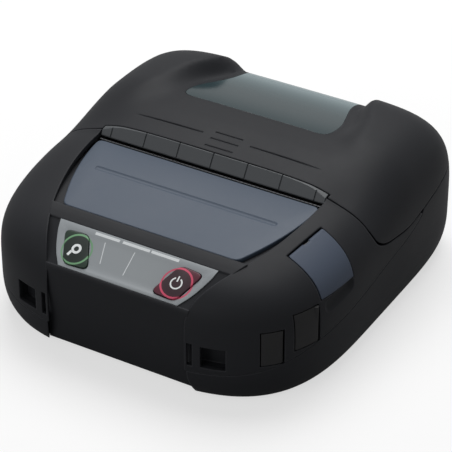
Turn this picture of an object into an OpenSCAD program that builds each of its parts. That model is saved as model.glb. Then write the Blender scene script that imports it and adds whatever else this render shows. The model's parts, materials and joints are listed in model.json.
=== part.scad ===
// Mobile receipt printer with a rear paper cover, an open lever and two keys.
// Millimetres. X runs across the printer, Y from the front to the rear, Z up.
// The origin is on the table under the centre of the body.

/* [Body] */
// Width of the body at its widest level
body_w = 165; // [162:1:168]
// Depth of the body at its widest level
body_d = 176; // [174:1:178]
// Height of the widest level above the table
belt_z = 20.5; // [18:0.5:23]
// Height of the rubber feet that show under the case
foot_h = 0.8; // [0.6:0.1:1.2]
// Wall thickness of the mouldings
wall = 2.4; // [2.2:0.1:2.6]
// Roundness of the front half in plan, as a superellipse exponent
front_round = 3.5; // [3.2:0.1:4]
// Roundness of the rear half in plan
rear_round = 6.5; // [6:0.1:7]
// Roundness of the shoulders in section
side_round = 4.4; // [4:0.1:5]
// How much lower the roof is at its sides than on the middle line
crown = 0.4; // [0.2:0.1:0.6]
// How far the outline draws in at the base
undercut = 0.05; // [0.02:0.01:0.07]

/* [Seams] */
// Gap between the paper cover and the case
cover_gap = 0.6; // [0.5:0.1:0.8]
// Shadow line between the upper and the lower case
case_gap = 0.3; // [0.2:0.1:0.4]
// Gap round loose pieces such as the lever and the connector flaps
loose_gap = 0.4; // [0.35:0.05:0.5]

/* [Print mechanism] */
// Height of the platen axis
platen_z = 49.5; // [49.2:0.1:49.8]
// Position of the platen axis from front to rear
platen_y = -3.2; // [-3.4:0.1:-3]
// Radius of the platen rubber
platen_r = 5; // [4.8:0.1:5]
// Half the length of the platen rubber, for 112 mm paper
rubber_half = 56; // [55:0.5:56]
// Gear module of the whole train
gear_m = 0.5; // [0.5:0.1:0.5]
// Teeth of the platen gear
platen_teeth = 18; // [18:1:18]
// Teeth of the pinions
pinion_teeth = 12; // [12:1:12]
// Teeth of the large idler gear
idler_teeth = 36; // [36:1:36]
// Play between gear teeth, measured on the pitch circle
backlash = 0.12; // [0.1:0.01:0.15]

/* [Paper] */
// Inner radius of the roll tray
tray_r = 29; // [28:0.5:29]
// Centre of the roll tray from front to rear
tray_y = 40; // [39:0.5:41]
// Height of the centre of the roll tray
tray_z = 39; // [38.5:0.5:39.5]

/* [Keys] */
// How far a key stands above the label
key_rise = 0.7; // [0.5:0.1:1]
// Travel of a key
key_travel = 0.5; // [0.4:0.1:0.5]
// Gap round a key
key_gap = 0.3; // [0.25:0.05:0.35]

/* [Battery] */
// Width of the battery pack
battery_w = 76; // [70:1:78]
// Length of the battery pack
battery_l = 60; // [56:1:60]
// Height of the battery pack
battery_h = 21.8; // [20:0.2:22]

/* [Hidden] */

half_w = body_w / 2;
half_d = body_d / 2;
hinge_y = 83.6;
hinge_z = 45.8;
// Ends of the lever's hinge line, just under the top of the right shoulder
lever_front = [60.6, -45.2, 54.3];
lever_rear = [64.4, -23.6, 56.85];
lever_length = norm(lever_rear - lever_front);
// Radius of the rolled edge on which the lever swings
lever_roll = 1.25;
latch_y = -17;
latch_z = 46;

casing_black = [0.13, 0.13, 0.14];
dark_plastic = [0.18, 0.18, 0.19];
panel_blue = [0.36, 0.40, 0.45];
label_grey = [0.51, 0.53, 0.54];
steel = [0.72, 0.73, 0.75];
board_green = [0.08, 0.32, 0.18];
rubber_black = [0.09, 0.09, 0.09];

// General functions

function ease(t) = let (c = min(1, max(0, t))) c * c * (3 - 2 * c);
function ramp(v, v0, v1) = ease((v - v0) / (v1 - v0));

// Catmull-Rom curve through a few design points
function curve_point(a, b, c, d, t) =
    0.5 * (2 * b + (c - a) * t + (2 * a - 5 * b + 4 * c - d) * t * t
    + (3 * b - a - 3 * c + d) * t * t * t);
function curve(p, n = 4) = concat(
    [for (i = [0:len(p) - 2], k = [0:n - 1])
        curve_point(p[max(0, i - 1)], p[i], p[i + 1], p[min(len(p) - 1, i + 2)], k / n)],
    [p[len(p) - 1]]);

// Polygon whose corners are rounded over the length r
function soft_corner(p, a, b, r, n) =
    let (u = p + r * (a - p) / norm(a - p), v = p + r * (b - p) / norm(b - p))
    [for (k = [0:n]) let (s = k / n) (1 - s) * (1 - s) * u + 2 * s * (1 - s) * p + s * s * v];
function soft(p, r, n = 4) =
    [for (i = [0:len(p) - 1]) each
        soft_corner(p[i], p[(i + len(p) - 1) % len(p)], p[(i + 1) % len(p)], r, n)];

// Band of thickness t along a curve
function normal_at(p, i) =
    let (d = p[min(len(p) - 1, i + 1)] - p[max(0, i - 1)]) [-d[1], d[0]] / norm(d);
function band(p, t) = concat(
    [for (i = [0:len(p) - 1]) p[i] + normal_at(p, i) * t / 2],
    [for (i = [len(p) - 1:-1:0]) p[i] - normal_at(p, i) * t / 2]);

function mirrored(p) = concat(p, [for (i = [len(p) - 1:-1:0]) [-p[i][0], p[i][1]]]);
function moved(p, d) = [for (q = p) q + d];

// Form of the body

// Height of the shoulders and of the hollow between them, from front to rear
function ridge_top(y) = 58.5 + 4.5 * ramp(y, -62, -8) + 9.5 * ramp(y, -12, 34)
    - 1.5 * ramp(y, 62, 88);
function hollow_top(y) = 65.3 + 2.9 * ramp(y, -8, 18) - 4.5 * ramp(y, 26, 62)
    + 2 * ramp(y, 62, 85);
function hollow_foot(y) = 46 - 7 * ramp(y, 0, 35);
function crest_x(y) = 66 - 14 * ramp(y, 5, 45) - 5 * ramp(y, 40, 80);
function roof(x, y) =
    let (low = (1 - ramp(abs(x), hollow_foot(y), crest_x(y))) * ramp(y, -10, -6))
    ridge_top(y) + (hollow_top(y) - ridge_top(y)) * low
    - crown * pow(x / half_w, 2) * (1 + y / body_d);
function round_of(y) = y < 0 ? front_round : rear_round;

// Half width at the belt level, and height over the belt, of a skin inset by t
function belt_half(y, t) =
    let (g = abs(y) / (half_d - t), n = round_of(y))
    (half_w - t) * pow(max(0, 1 - pow(g, n)), 1 / n);
function reach(x, y, t) =
    let (n = round_of(y))
    pow(pow(abs(x) / (half_w - t), n) + pow(abs(y) / (half_d - t), n), 1 / n);
function skin_z(x, y, t) =
    let (q = min(1, reach(x, y, t)))
    belt_z + (roof(x, y) - t - belt_z) * pow(1 - pow(q, side_round), 1 / side_round);
function draw_in(z) = 1 - undercut * pow((belt_z - z) / belt_z, 3);

// One cross loop of the skin: over the top, down the side, under the floor
function top_half(y, t, fx) =
    let (w = belt_half(y, t))
    [for (f = fx) [f * w, y, skin_z(f * w, y, t)]];
function low_half(y, t, fz, base) =
    let (w = belt_half(y, t))
    [for (f = fz) let (z = base + (belt_z - base) * f, k = draw_in(z)) [w * k, y * k, z]];
function flipped(p) = [for (i = [len(p) - 1:-1:0]) [-p[i][0], p[i][1], p[i][2]]];
function cross_loop(y, t, fx, fz, base) =
    let (a = concat(top_half(y, t, fx), low_half(y, t, fz, base)))
    concat(a, [for (i = [len(a) - 1:-1:1]) [-a[i][0], a[i][1], a[i][2]]]);

// At a tip of the body each loop folds onto one upright line
function tip_line(s, t, fz, base) = concat([[0, s * (half_d - t), belt_z]],
    [for (f = fz) let (z = base + (belt_z - base) * f) [0, s * (half_d - t) * draw_in(z), z]]);
function tip_index(j, nx, nz) =
    let (m = nx + nz, i = j < m ? j : 2 * m - 1 - j) max(0, i - nx + 1);

module skin(t, gf, gr, fx, fz, base) {
    nx = len(fx);
    nz = len(fz);
    n = 2 * (nx + nz) - 1;
    ys = concat([for (g = gf) -g * (half_d - t)], [for (g = gr) g * (half_d - t)]);
    rows = len(ys);
    pts = concat(
        tip_line(-1, t, fz, base),
        [for (y = ys) each cross_loop(y, t, fx, fz, base)],
        tip_line(1, t, fz, base));
    first = nz + 1;
    last = first + rows * n;
    quads = [for (i = [0:rows], j = [0:n - 1])
        let (k = (j + 1) % n,
            a = i == 0 ? tip_index(j, nx, nz) : first + (i - 1) * n + j,
            b = i == 0 ? tip_index(k, nx, nz) : first + (i - 1) * n + k,
            c = i == rows ? last + tip_index(k, nx, nz) : first + i * n + k,
            d = i == rows ? last + tip_index(j, nx, nz) : first + i * n + j)
        each [[a, c, b], [a, d, c]]];
    faces = [for (f = quads) if (f[0] != f[1] && f[1] != f[2] && f[2] != f[0]) f];
    polyhedron(points = pts, faces = faces, convexity = 6);
}

outer_front = [0.9995, 0.996, 0.985, 0.965, 0.935, 0.9, 0.86, 0.81, 0.75, 0.68, 0.6,
    0.5, 0.4, 0.3, 0.2, 0.114, 0.068];
outer_rear = [0, 0.08, 0.16, 0.24, 0.32, 0.4, 0.48, 0.56, 0.64, 0.72, 0.79, 0.85, 0.9,
    0.935, 0.96, 0.978, 0.99, 0.997, 0.9996];
outer_cross = [0, 0.16, 0.3, 0.4, 0.455, 0.49, 0.525, 0.56, 0.6, 0.65, 0.7, 0.75, 0.8,
    0.85, 0.895, 0.935, 0.962, 0.981, 0.992, 0.998, 1];
inner_front = [0.997, 0.975, 0.93, 0.86, 0.76, 0.62, 0.45, 0.28, 0.114, 0.068];
inner_rear = [0, 0.12, 0.26, 0.4, 0.54, 0.67, 0.78, 0.87, 0.93, 0.97, 0.99, 0.999];
inner_cross = [0, 0.3, 0.44, 0.5, 0.56, 0.63, 0.72, 0.81, 0.89, 0.945, 0.98, 0.996, 1];

module outer_skin() {
    skin(0, outer_front, outer_rear, outer_cross, [0.72, 0.46, 0.22, 0], foot_h);
}

module inner_skin(t = wall) {
    skin(t, inner_front, inner_rear, inner_cross, [0.5, 0], foot_h + wall);
}

// A moulding has facets all over, so it is worked as one mesh at its own size
module moulding() {
    resize([0, 0, 0])
        children();
}

// Hollow body, with whatever stands inside it grown onto its wall
module shell() {
    difference() {
        outer_skin();
        difference() {
            inner_skin();
            children();
        }
    }
}

// Prism that runs the whole width of the body from a side view
module side_prism(p, w = 200) {
    rotate([90, 0, 90])
        linear_extrude(w, center = true)
            polygon(p);
}

// Prism over a plan view
module plan_prism(p, z0 = -5, z1 = 100) {
    translate([0, 0, z0])
        linear_extrude(z1 - z0)
            polygon(p);
}

// Seams, as side views of [y, z]

cover_edge = curve([[-6.5, 90], [-6.5, 56], [-6.3, 50.5], [-4, 45.2], [1.5, 41.8], [10, 40],
    [23, 38.4], [38, 40], [53, 42.3], [67, 44.2], [80, 45.7], [100, 46.4]], 4);
parting_edge = curve([[-100, 9.5], [-80, 15.5], [-65, 20], [-50, 23.7], [-30, 26.5],
    [-14, 28.8], [2, 31], [21, 33.2], [33, 36.2]], 3);
// The part of the cover seam behind the end of the parting line
rear_edge = [for (p = cover_edge) if (p[0] > 37.2) p];

function cover_side(d) =
    concat(moved(cover_edge, [d, d]), [[100 + d, 100], [-6.5 + d, 100]]);
function low_side(d) = concat([[-100, -5]], moved(parting_edge, [0, -d]), [[37, 37.9]],
    moved(rear_edge, [0, -cover_gap / 2]), [[100, -5]]);
function high_side(d) = concat([[-100, 100]], moved(parting_edge, [0, d]),
    [[36.5, 38.2]],
    [for (i = [len(cover_edge) - 1:-1:0]) if (cover_edge[i][0] < 36)
        cover_edge[i] - [cover_gap / 2, cover_gap / 2]]);

// Tongue in the front: half width between the raised cheeks

function tongue_half(y) = let (t = min(1, max(0, (-9 - y) / 77))) 57 - 23 * pow(t, 2.2);
tongue_stations = [-6, -9, -16, -24, -32, -40, -48, -56, -63, -69, -75, -80, -86, -100];
function tongue_plan(d) =
    mirrored([for (y = tongue_stations) [tongue_half(y) + d, y]]);

// Outer line of the deck, from the tear bar over the label and down the front
deck_line = [[-10.4, 56.82], [-59.5, 53.67], [-59.5, 55.75], [-63, 55.15], [-66.9, 53.9],
    [-66.64, 53.47], [-84.34, 42.88], [-84.6, 43.3], [-85.3, 42.2], [-85.6, 40.6],
    [-85.2, 30], [-84, 18], [-82.6, 8], [-81.4, 1.8]];
deck_back = [[-79, 1.8], [-80.2, 8], [-81.6, 18], [-82.8, 30], [-83.1, 39.2],
    [-82.4, 40.9], [-65.6, 50.9], [-62.5, 51.4], [-10.4, 54.6]];

// Room for the deck in a shell: the line of its back moved inward by d
module tongue_cut(side, d) {
    intersection() {
        plan_prism(tongue_plan(side));
        side_prism(concat([[-79.1 + d, -5]], moved(deck_back, [d, -d]),
            [[10, 54.6 - d], [10, 100], [-120, 100], [-120, -5]]));
    }
}

// Plate of the label: local x across, y up the slope, z out of the face
module on_slope() {
    translate([0, -66.9, 53.9])
        rotate([30.9, 0, 0])
            children();
}

// Outline of a key in the frame of the slope, for the right side
key_shape = [[34.2, -4.2], [22.6, -3.4], [15.6, -18.2], [27.6, -18.9]];
function key_outline(side, grow) =
    let (c = [25, -11.2],
        p = [for (q = key_shape) c + (q - c) * (1 + grow / 8)])
    [for (q = soft(p, 3.2)) [side * q[0], q[1]]];

// Outer shells

// Frame of something set into the body wall: p in plan, a the way it faces
module at_wall(p, a) {
    translate([p[0], p[1], 0])
        rotate([0, 0, a])
            children();
}

module flap_space(p, a, w, z0, z1, gap, trim = 0) {
    at_wall(p, a)
        translate([-5.5, -w / 2 - gap, z0 - gap])
            cube([10.5, w + 2 * gap - trim, z1 - z0 + 2 * gap]);
}

interface_place = [76.1, -57.6];
interface_angle = -22;
power_place = [67.6, -71.9];
power_angle = -43;
// Radius of the rolled edge on which a flap swings
flap_roll = 1.15;

module lever_space(gap) {
    intersection() {
        plan_prism([[59.6 - gap, -45.6 - gap], [63.4 - gap, -23.4 + gap],
            [84, -27.4 + gap], [84, -49.6 - 2.5 * gap]], 30, 70);
        rotate([90, 0, 0])
            linear_extrude(100, center = true)
                polygon([[50, 70], [90, 70], [90, 41.9 - gap], [76, 41.9 - gap],
                    [60, 50], [50, 50]]);
    }
}

// Place of a strap eyelet in a front cheek, square to the rounded corner
module at_eyelet(side) {
    translate([side * 43.5, -85.2, 0])
        rotate([0, 0, side * 13])
            scale([side, 1, 1])
                children();
}

// Block behind the two slots of an eyelet
module strap_pocket(side) {
    at_eyelet(side)
        translate([-10.2, -1, 15])
            cube([20.4, 8.4, 14.6]);
}

// Wide slot, narrow slot by the deck, and the hollow that joins them behind a bar
module strap_space(side) {
    at_eyelet(side) {
        translate([-2.6, -10, 17])
            cube([11, 14, 10.6]);
        translate([-8.6, -10, 16.8])
            cube([2.5, 14, 11.2]);
        translate([-8.8, 2.4, 16.6])
            cube([17.6, 3.8, 11.6]);
    }
}

module cheeks() {
    difference() {
        intersection() {
            shell() {
                strap_pocket(1);
                strap_pocket(-1);
            }
            side_prism(high_side(case_gap / 2));
        }
        tongue_cut(0, -0.25);
        strap_space(1);
        strap_space(-1);
        lever_space(loose_gap);
        on_lever_line()
            translate([0, 0, -0.4])
                cylinder(h = lever_length + 0.8, r = lever_roll + 0.7, $fn = 32);
        on_lever_line()
            translate([0, 0, -1.8])
                cylinder(h = lever_length + 3.6, r = 0.65, $fn = 24);
        // finger scoop under the lower edge of the lever
        hull() {
            translate([83.1, -45, 38.2])
                sphere(r = 5, $fn = 24);
            translate([84.4, -31, 40.2])
                sphere(r = 5, $fn = 24);
        }
        flap_space(interface_place, interface_angle, 12.8, 24, 40.6, loose_gap);
        flap_space(power_place, power_angle, 9.6, 19.8, 35.6, loose_gap);
    }
}

// Sunken deck between the cheeks: seats of the panel and the label, and the front
module deck() {
    difference() {
        union() {
            intersection() {
                side_prism(concat(deck_line, deck_back));
                plan_prism(tongue_plan(0.6));
            }
            // ribs under the panel
            for (x = [-38, -14, 14, 38])
                translate([x, 0, 0])
                    side_prism([[-24, 54.9], [-58, 52.6], [-58, 49], [-24, 51.4]], 1.6);
        }
        on_slope()
            for (s = [-1, 1])
                translate([0, 0, -8])
                    linear_extrude(12)
                        polygon(key_outline(s, key_gap));
    }
}

module upper_case() {
    color(casing_black)
        moulding()
            union() {
                cheeks();
                deck();
            }
}

bay_w = battery_w + 1.2;
bay_front = -62.6;
bay_rear = bay_front + battery_l + 1.2;
bay_top = foot_h + battery_h + 0.4;
screw_places = [[-50, -66], [50, -66], [-71, -8], [71, -8], [-66, 70], [66, 70]];
foot_places = [[-56, -56], [56, -56], [-64, 56], [64, 56]];

// Case bottom before its screw and foot holes
module lower_blank() {
    difference() {
        intersection() {
            shell() {
                // walls and roof of the battery bay
                translate([-bay_w / 2 - 1.6, bay_front - 1.6, foot_h])
                    cube([bay_w + 3.2, bay_rear - bay_front + 3.2, bay_top - foot_h + 1.6]);
                for (p = screw_places)
                    translate([p[0], p[1], foot_h])
                        cylinder(h = 7, r = 4.4, $fn = 24);
                // rails that hold the battery latch down
                for (s = [-1, 1])
                    difference() {
                        translate([s > 0 ? 7.4 : -10.6, bay_front - 13.6, foot_h])
                            cube([3.2, 13, wall + 3.4]);
                        translate([s > 0 ? 0 : -9.1, bay_front - 20, foot_h + wall])
                            cube([9.1, 30, 1.9]);
                    }
            }
            side_prism(low_side(case_gap / 2));
        }
        translate([-bay_w / 2, bay_front, -1])
            cube([bay_w, bay_rear - bay_front, bay_top + 1]);
        translate([-11, -40, bay_top - 1])
            cube([22, 8, 5]);
        tongue_cut(0.6 + case_gap, case_gap);
        // window of the battery latch in front of the bay, and the way of its tongue
        translate([-6.6, bay_front - 14, -1])
            cube([13.2, 10, 8]);
        translate([-6, bay_front - 4, foot_h + wall])
            cube([12, 5, 2.1]);
        // room for the hinge knuckles in the rear wall
        translate([-64.5, hinge_y - 3.4, hinge_z - 3])
            cube([129, 20, 12]);
        translate([0, hinge_y, hinge_z])
            rotate([0, 90, 0])
                cylinder(h = 129, r = 3.2, center = true, $fn = 32);
    }
}

module lower_case() {
    color(casing_black)
        difference() {
            moulding()
                lower_blank();
            for (p = foot_places)
                translate([p[0], p[1], -1])
                    cylinder(h = foot_h + 1.9, r = 6.1, $fn = 48);
            for (p = screw_places)
                translate([p[0], p[1], -1]) {
                    cylinder(h = foot_h + 4, r = 3.2, $fn = 48);
                    cylinder(h = 12, r = 1.7, $fn = 48);
                }
        }
}

window_plan = soft([[-37.6, 29.6], [37.6, 29.6], [37.6, 81.2], [-37.6, 81.2]], 6, 5);
groove_y = 6;

module paper_cover() {
    color(casing_black)
        moulding()
        difference() {
            intersection() {
                shell();
                side_prism(cover_side(cover_gap / 2));
            }
            // seat of the comb strip
            translate([-57.3, -10, 50])
                cube([114.6, 5.6, 30]);
            // room for the knuckles of the case
            translate([0, hinge_y, hinge_z])
                rotate([0, 90, 0])
                    cylinder(h = 122, r = 3, center = true, $fn = 32);
            // window
            plan_prism(window_plan, 46, 100);
            // moulded lines behind the strip
            for (s = [-1, 1])
                translate([s * 12, groove_y, hollow_top(groove_y) - 0.5])
                    rotate([0, s > 0 ? 1.2 : -1.2, 0])
                        translate([s > 0 ? 0 : -35.5, -0.45, 0])
                            cube([35.5, 0.9, 5]);
            for (y = [-0.9, 4.1, 8.5])
                translate([-7, y - 0.4, hollow_top(y) - 0.5])
                    cube([14, 0.8, 5]);
        }
}

module cover_window() {
    color([0.30, 0.34, 0.36])
        moulding()
        intersection() {
            difference() {
                outer_skin();
                inner_skin(1.8);
            }
            plan_prism([for (p = window_plan) [p[0] * 0.997, 56 + (p[1] - 56) * 0.996]],
                45.8, 100);
        }
}

// Strip along the front edge of the cover, with a rib at each sixteenth
rib_pitch = 17.2;

module comb_strip() {
    color(dark_plastic)
        moulding()
        intersection() {
            outer_skin();
            union() {
            side_prism([[-4.5, 65.7], [-6.2, 65.35], [-8.4, 59.9], [-8.3, 59.3],
                [-6.6, 58.9], [-4.5, 60.9]], 113);
            for (i = [-3:3])
                translate([i * rib_pitch, 0, 0])
                    side_prism([[-5, 65.6], [-6.5, 65.4], [-8.85, 59.6], [-8.5, 59],
                        [-5.6, 59.9]], 0.9);
            }
        }
}

// Panel, label and keys on the deck

function panel_half(y) = let (t = min(1, max(0, (-11 - y) / 48))) 56 - 12.8 * pow(t, 1.8);
panel_stations = [-10.6, -17, -23, -29, -35, -41, -47, -53, -59.2];
panel_plan = let (p = mirrored([for (y = panel_stations) [panel_half(y), y + 59.2]]),
    n = len(p))
    [for (i = [0:n - 1]) each
        (i == 0 || i == len(panel_stations) - 1 || i == len(panel_stations) || i == n - 1)
        ? soft_corner(p[i], p[(i + n - 1) % n], p[(i + 1) % n], 3, 4) : [p[i]]];

module front_panel() {
    color(panel_blue)
        translate([0, -59.2, 55.72])
            rotate([3.67, 0, 0])
                difference() {
                    translate([0, 0, -1.98])
                        linear_extrude(1.98)
                            polygon(panel_plan);
                    // long shallow hollow across the panel
                    translate([0, 29.5, 2.2])
                        rotate([0, 90, 0])
                            cylinder(h = 92, r = 2.5, center = true, $fn = 48);
                }
}

label_plan = mirrored([[39, -0.1], [37.9, -4.6], [36.2, -8.9], [34.6, -12.4], [32.8, -15.6],
    [29.4, -20.4]]);

module keypad_label() {
    color(label_grey)
        on_slope()
            translate([0, 0, -0.48])
                difference() {
                    linear_extrude(0.48)
                        polygon(label_plan);
                    for (s = [-1, 1])
                        translate([0, 0, -1])
                            linear_extrude(3)
                                polygon(key_outline(s, key_gap));
                }
}

module key(side) {
    on_slope()
        union() {
            translate([0, 0, -4.4])
                linear_extrude(4.4 + key_rise - 0.3)
                    polygon(key_outline(side, 0));
            translate([0, 0, key_rise - 0.3])
                linear_extrude(0.3)
                    polygon(key_outline(side, -0.35));
            translate([0, 0, -4.3])
                linear_extrude(0.95)
                    polygon(key_outline(side, 1.1));
        }
}

module feed_key() {
    color([0.06, 0.09, 0.07])
        key(-1);
}

module power_key() {
    color([0.10, 0.05, 0.06])
        key(1);
}

module key_board() {
    color(board_green)
        on_slope()
            translate([0, 0, -8.3])
                difference() {
                    linear_extrude(1.2)
                        polygon(mirrored([[33.5, -2.5], [31, -12], [26.5, -18.5]]));
                    for (s = [-1, 1])
                        translate([s * 5, -9, -1])
                            cylinder(h = 4, r = 1.3, $fn = 24);
                }
}

module dome_switch(side) {
    color([0.75, 0.75, 0.76])
        on_slope()
            translate([side * 25, -11.2, -7.1])
                union() {
                    translate([-3, -3, 0])
                        cube([6, 6, 1.3]);
                    cylinder(h = 2.05, r = 1.7, $fn = 32);
                }
}

module feed_switch() { dome_switch(-1); }
module power_switch() { dome_switch(1); }

// Open lever

// Frame on the hinge line of the lever: z runs along it, from front to rear
module on_lever_line() {
    d = (lever_rear - lever_front) / lever_length;
    translate(lever_front)
        rotate([0, acos(d[2]), atan2(d[1], d[0])])
            children();
}

module open_lever() {
    color(panel_blue)
        difference() {
            union() {
                difference() {
                    moulding()
                        difference() {
                            intersection() {
                                difference() {
                                    outer_skin();
                                    inner_skin(2.2);
                                }
                                lever_space(0);
                            }
                            // the patch stops at the middle of its rolled edge
                            on_lever_line()
                                rotate([0, 0, 16])
                                    translate([-10, 0, -5])
                                        cube([20, 10, 40]);
                        }
                    // gap for the return spring
                    on_lever_line()
                        translate([0, 0, 9.2])
                            cylinder(h = 3.8, r = 1.25, $fn = 32);
                }
                on_lever_line()
                    for (z = [[0, 9.2], [13, lever_length]])
                        translate([0, 0, z[0]])
                            cylinder(h = z[1] - z[0], r = lever_roll, $fn = 48);
                // toe that pushes the latch crank down
                translate([0, -31.4, 0])
                    rotate([90, 0, 0])
                        translate([0, 0, -3.4])
                            linear_extrude(3.4)
                                polygon([[64, 56.2], [62.6, 55.5], [61.3, 54.35], [57.2, 53],
                                    [57.2, 52.2], [58.4, 52.2], [62.6, 53.8], [64.6, 54.7]]);
            }
            on_lever_line()
                translate([0, 0, -2])
                    cylinder(h = lever_length + 4, r = 0.64, $fn = 48);
        }
}

module lever_pin() {
    color(steel)
        on_lever_line()
            translate([0, 0, -1.6])
                cylinder(h = lever_length + 3.2, r = 0.6, $fn = 48);
}

// Coil with a round wire, one unbroken tube along Z from its origin
module coil(mean_r, wire_r, turns, pitch, per_turn = 12, sides = 6) {
    n = turns * per_turn;
    rise = atan(pitch / (2 * PI * mean_r));
    pts = [for (i = [0:n], k = [0:sides - 1])
        let (a = 360 * i / per_turn, b = 360 * k / sides,
            radial = [cos(a), sin(a), 0],
            axial = [sin(a) * sin(rise), -cos(a) * sin(rise), cos(rise)])
        radial * (mean_r + wire_r * cos(b)) + axial * wire_r * sin(b)
            + [0, 0, pitch * i / per_turn]];
    faces = concat(
        [for (i = [0:n - 1], k = [0:sides - 1])
            let (a = i * sides + k, b = i * sides + (k + 1) % sides)
            each [[a, b, b + sides], [a, b + sides, a + sides]]],
        [[for (k = [sides - 1:-1:0]) k]],
        [[for (k = [0:sides - 1]) n * sides + k]]);
    polyhedron(points = pts, faces = faces, convexity = 8);
}

module lever_spring() {
    color(steel)
        on_lever_line()
            translate([0, 0, 9.5])
                coil(0.92, 0.15, 5, 0.62, 10);
}

// Connector flaps on the right front corner

module flap(p, a, w, z0, z1, plug_z, plug_r, edge_x) {
    color(rubber_black)
        moulding()
            union() {
                intersection() {
                    difference() {
                        outer_skin();
                        inner_skin(2.3);
                    }
                    flap_space(p, a, w, z0, z1, 0, flap_roll);
                }
                at_wall(p, a) {
                    translate([edge_x - flap_roll, w / 2 - flap_roll, z0])
                        cylinder(h = z1 - z0, r = flap_roll, $fn = 40);
                    translate([-3.9, 0, plug_z])
                        rotate([0, 90, 0])
                            cylinder(h = 2.6, r = plug_r, $fn = 32);
                }
            }
}

module interface_flap() {
    flap(interface_place, interface_angle, 12.8, 24, 40.6, 33.4, 2.2, 0);
}

module power_flap() {
    flap(power_place, power_angle, 9.6, 19.8, 35.6, 31.8, 1.8, -0.05);
}

module interface_socket() {
    color(steel)
        at_wall(interface_place, interface_angle)
            difference() {
                translate([-16, -6, 28.7])
                    cube([12, 12, 9.4]);
                translate([-12, -4.4, 30.2])
                    cube([12, 8.8, 6.4]);
            }
}

module power_jack() {
    color([0.10, 0.10, 0.11])
        at_wall(power_place, power_angle)
            difference() {
                translate([-14, -4, 28.7])
                    cube([10, 8, 7.6]);
                translate([-12, 0, 31.8])
                    rotate([0, 90, 0])
                        cylinder(h = 12, r = 2.3, $fn = 48);
            }
}

// Electronics and power

board_plan = soft([[54, -30], [62, -40], [64, -56], [55, -68], [46, -74], [-46, -74],
    [-56, -64], [-58, -46], [-54, -30]], 3, 2);

module main_board() {
    color(board_green)
        union() {
            translate([0, 0, 27])
                linear_extrude(1.6)
                    polygon(board_plan);
            // processor, memory, power stage and the head connector
            translate([-34, -60, 28.6])
                cube([16, 16, 1.6]);
            translate([-8, -56, 28.6])
                cube([11, 8, 1.2]);
            translate([18, -66, 28.6])
                cube([9, 9, 3]);
            translate([-22, -35.5, 28.6])
                cube([44, 4.4, 2.4]);
            translate([-50, -38, 28.6])
                cube([9, 6, 4.5]);
        }
}

module battery_contacts() {
    color([0.80, 0.66, 0.30])
        union() {
            translate([-10.5, -39.5, bay_top + 0.2])
                cube([21, 7, 26.95 - bay_top - 0.2]);
            for (i = [-1.5:1:1.5])
                translate([i * 5 - 0.7, -37.4, bay_top - 0.2])
                    cube([1.4, 3, 1]);
        }
}

module battery_pack() {
    color([0.14, 0.14, 0.15])
        difference() {
            translate([0, bay_front + 0.6 + battery_l / 2, foot_h])
                linear_extrude(battery_h)
                    polygon(soft([[-battery_w / 2, -battery_l / 2], [battery_w / 2, -battery_l / 2],
                        [battery_w / 2, battery_l / 2], [-battery_w / 2, battery_l / 2]], 3, 3));
            // contact recess in the top and catch notch in the front
            translate([-11, -39.8, foot_h + battery_h - 0.8])
                cube([22, 7.8, 3]);
            translate([-7, bay_front - 1, foot_h + wall - 0.1])
                cube([14, 3.2, 2.2]);
            // finger grip across the underside
            translate([0, bay_rear - 9, foot_h - 1.4])
                rotate([0, 90, 0])
                    cylinder(h = 24, r = 3.4, center = true, $fn = 48);
        }
}

module battery_latch() {
    color(dark_plastic)
        union() {
            difference() {
                translate([-6.2, bay_front - 10.6, foot_h + 0.1])
                    cube([12.4, 6.2, wall + 0.5]);
                for (i = [0:2])
                    translate([-5, bay_front - 9.4 + i * 1.6, foot_h - 0.6])
                        cube([10, 0.7, 1.1]);
            }
            translate([-8.8, bay_front - 10.6, foot_h + wall + 0.3])
                cube([17.6, 6.2, 1.3]);
            translate([-5.6, bay_front - 4.6, foot_h + wall + 0.3])
                cube([11.2, 6.2, 1.3]);
        }
}

// Print mechanism

idler_y = platen_y - 0.04 * (platen_teeth + pinion_teeth) * gear_m / 2;
idler_z = platen_z - 0.9992 * (platen_teeth + pinion_teeth) * gear_m / 2;
motor_reach = (idler_teeth + pinion_teeth) * gear_m / 2;
motor_y = idler_y + motor_reach * cos(230);
motor_z = idler_z + motor_reach * sin(230);
plate_in = 60.4;
plate_out = 62.4;

// Radius of the bushes on which the platen turns
bush_r = 3.6;

// Side view of a side plate, with the notch that holds the platen bush
module side_plate() {
    linear_extrude(plate_out - plate_in)
        difference() {
            polygon(soft([[-21.5, 24], [-21.5, 52], [-18, 55.5], [5.6, 55.5], [5.6, 34],
                [0, 24]], 2, 3));
            translate([platen_y, platen_z])
                circle(r = bush_r + 0.1, $fn = 64);
            translate([platen_y, platen_z])
                polygon([[-bush_r - 0.1, 0], [bush_r + 0.1, 0], [5.6, 12], [-4.9, 12]]);
            translate([latch_y, latch_z])
                circle(r = 1.56, $fn = 48);
        }
}

module mechanism_frame() {
    color([0.62, 0.63, 0.65])
        difference() {
            union() {
                for (x = [-plate_out, plate_in])
                    translate([x, 0, 0])
                        rotate([90, 0, 90])
                            side_plate();
                // cross plate behind the head
                translate([-plate_in - 0.1, -21.5, 36])
                    cube([2 * plate_in + 0.2, 1.6, 17.6]);
            }
            // room for the motor body under the cross plate
            translate([-plate_in, -24, 30])
                cube([17, 6, 10]);
            // openings for the motor boss and the idler pin in the left plate
            translate([-61.4, motor_y, motor_z])
                rotate([0, 90, 0])
                    cylinder(h = 4, r = 4, center = true, $fn = 48);
            translate([-61.4, idler_y, idler_z])
                rotate([0, 90, 0])
                    cylinder(h = 4, r = 1, center = true, $fn = 48);
            // lightening holes of the cross plate
            for (x = [-20, 0, 20])
                translate([x, -21, 41.5])
                    rotate([90, 0, 0])
                        cylinder(h = 6, r = 2.4, center = true, $fn = 32);
        }
}

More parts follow.
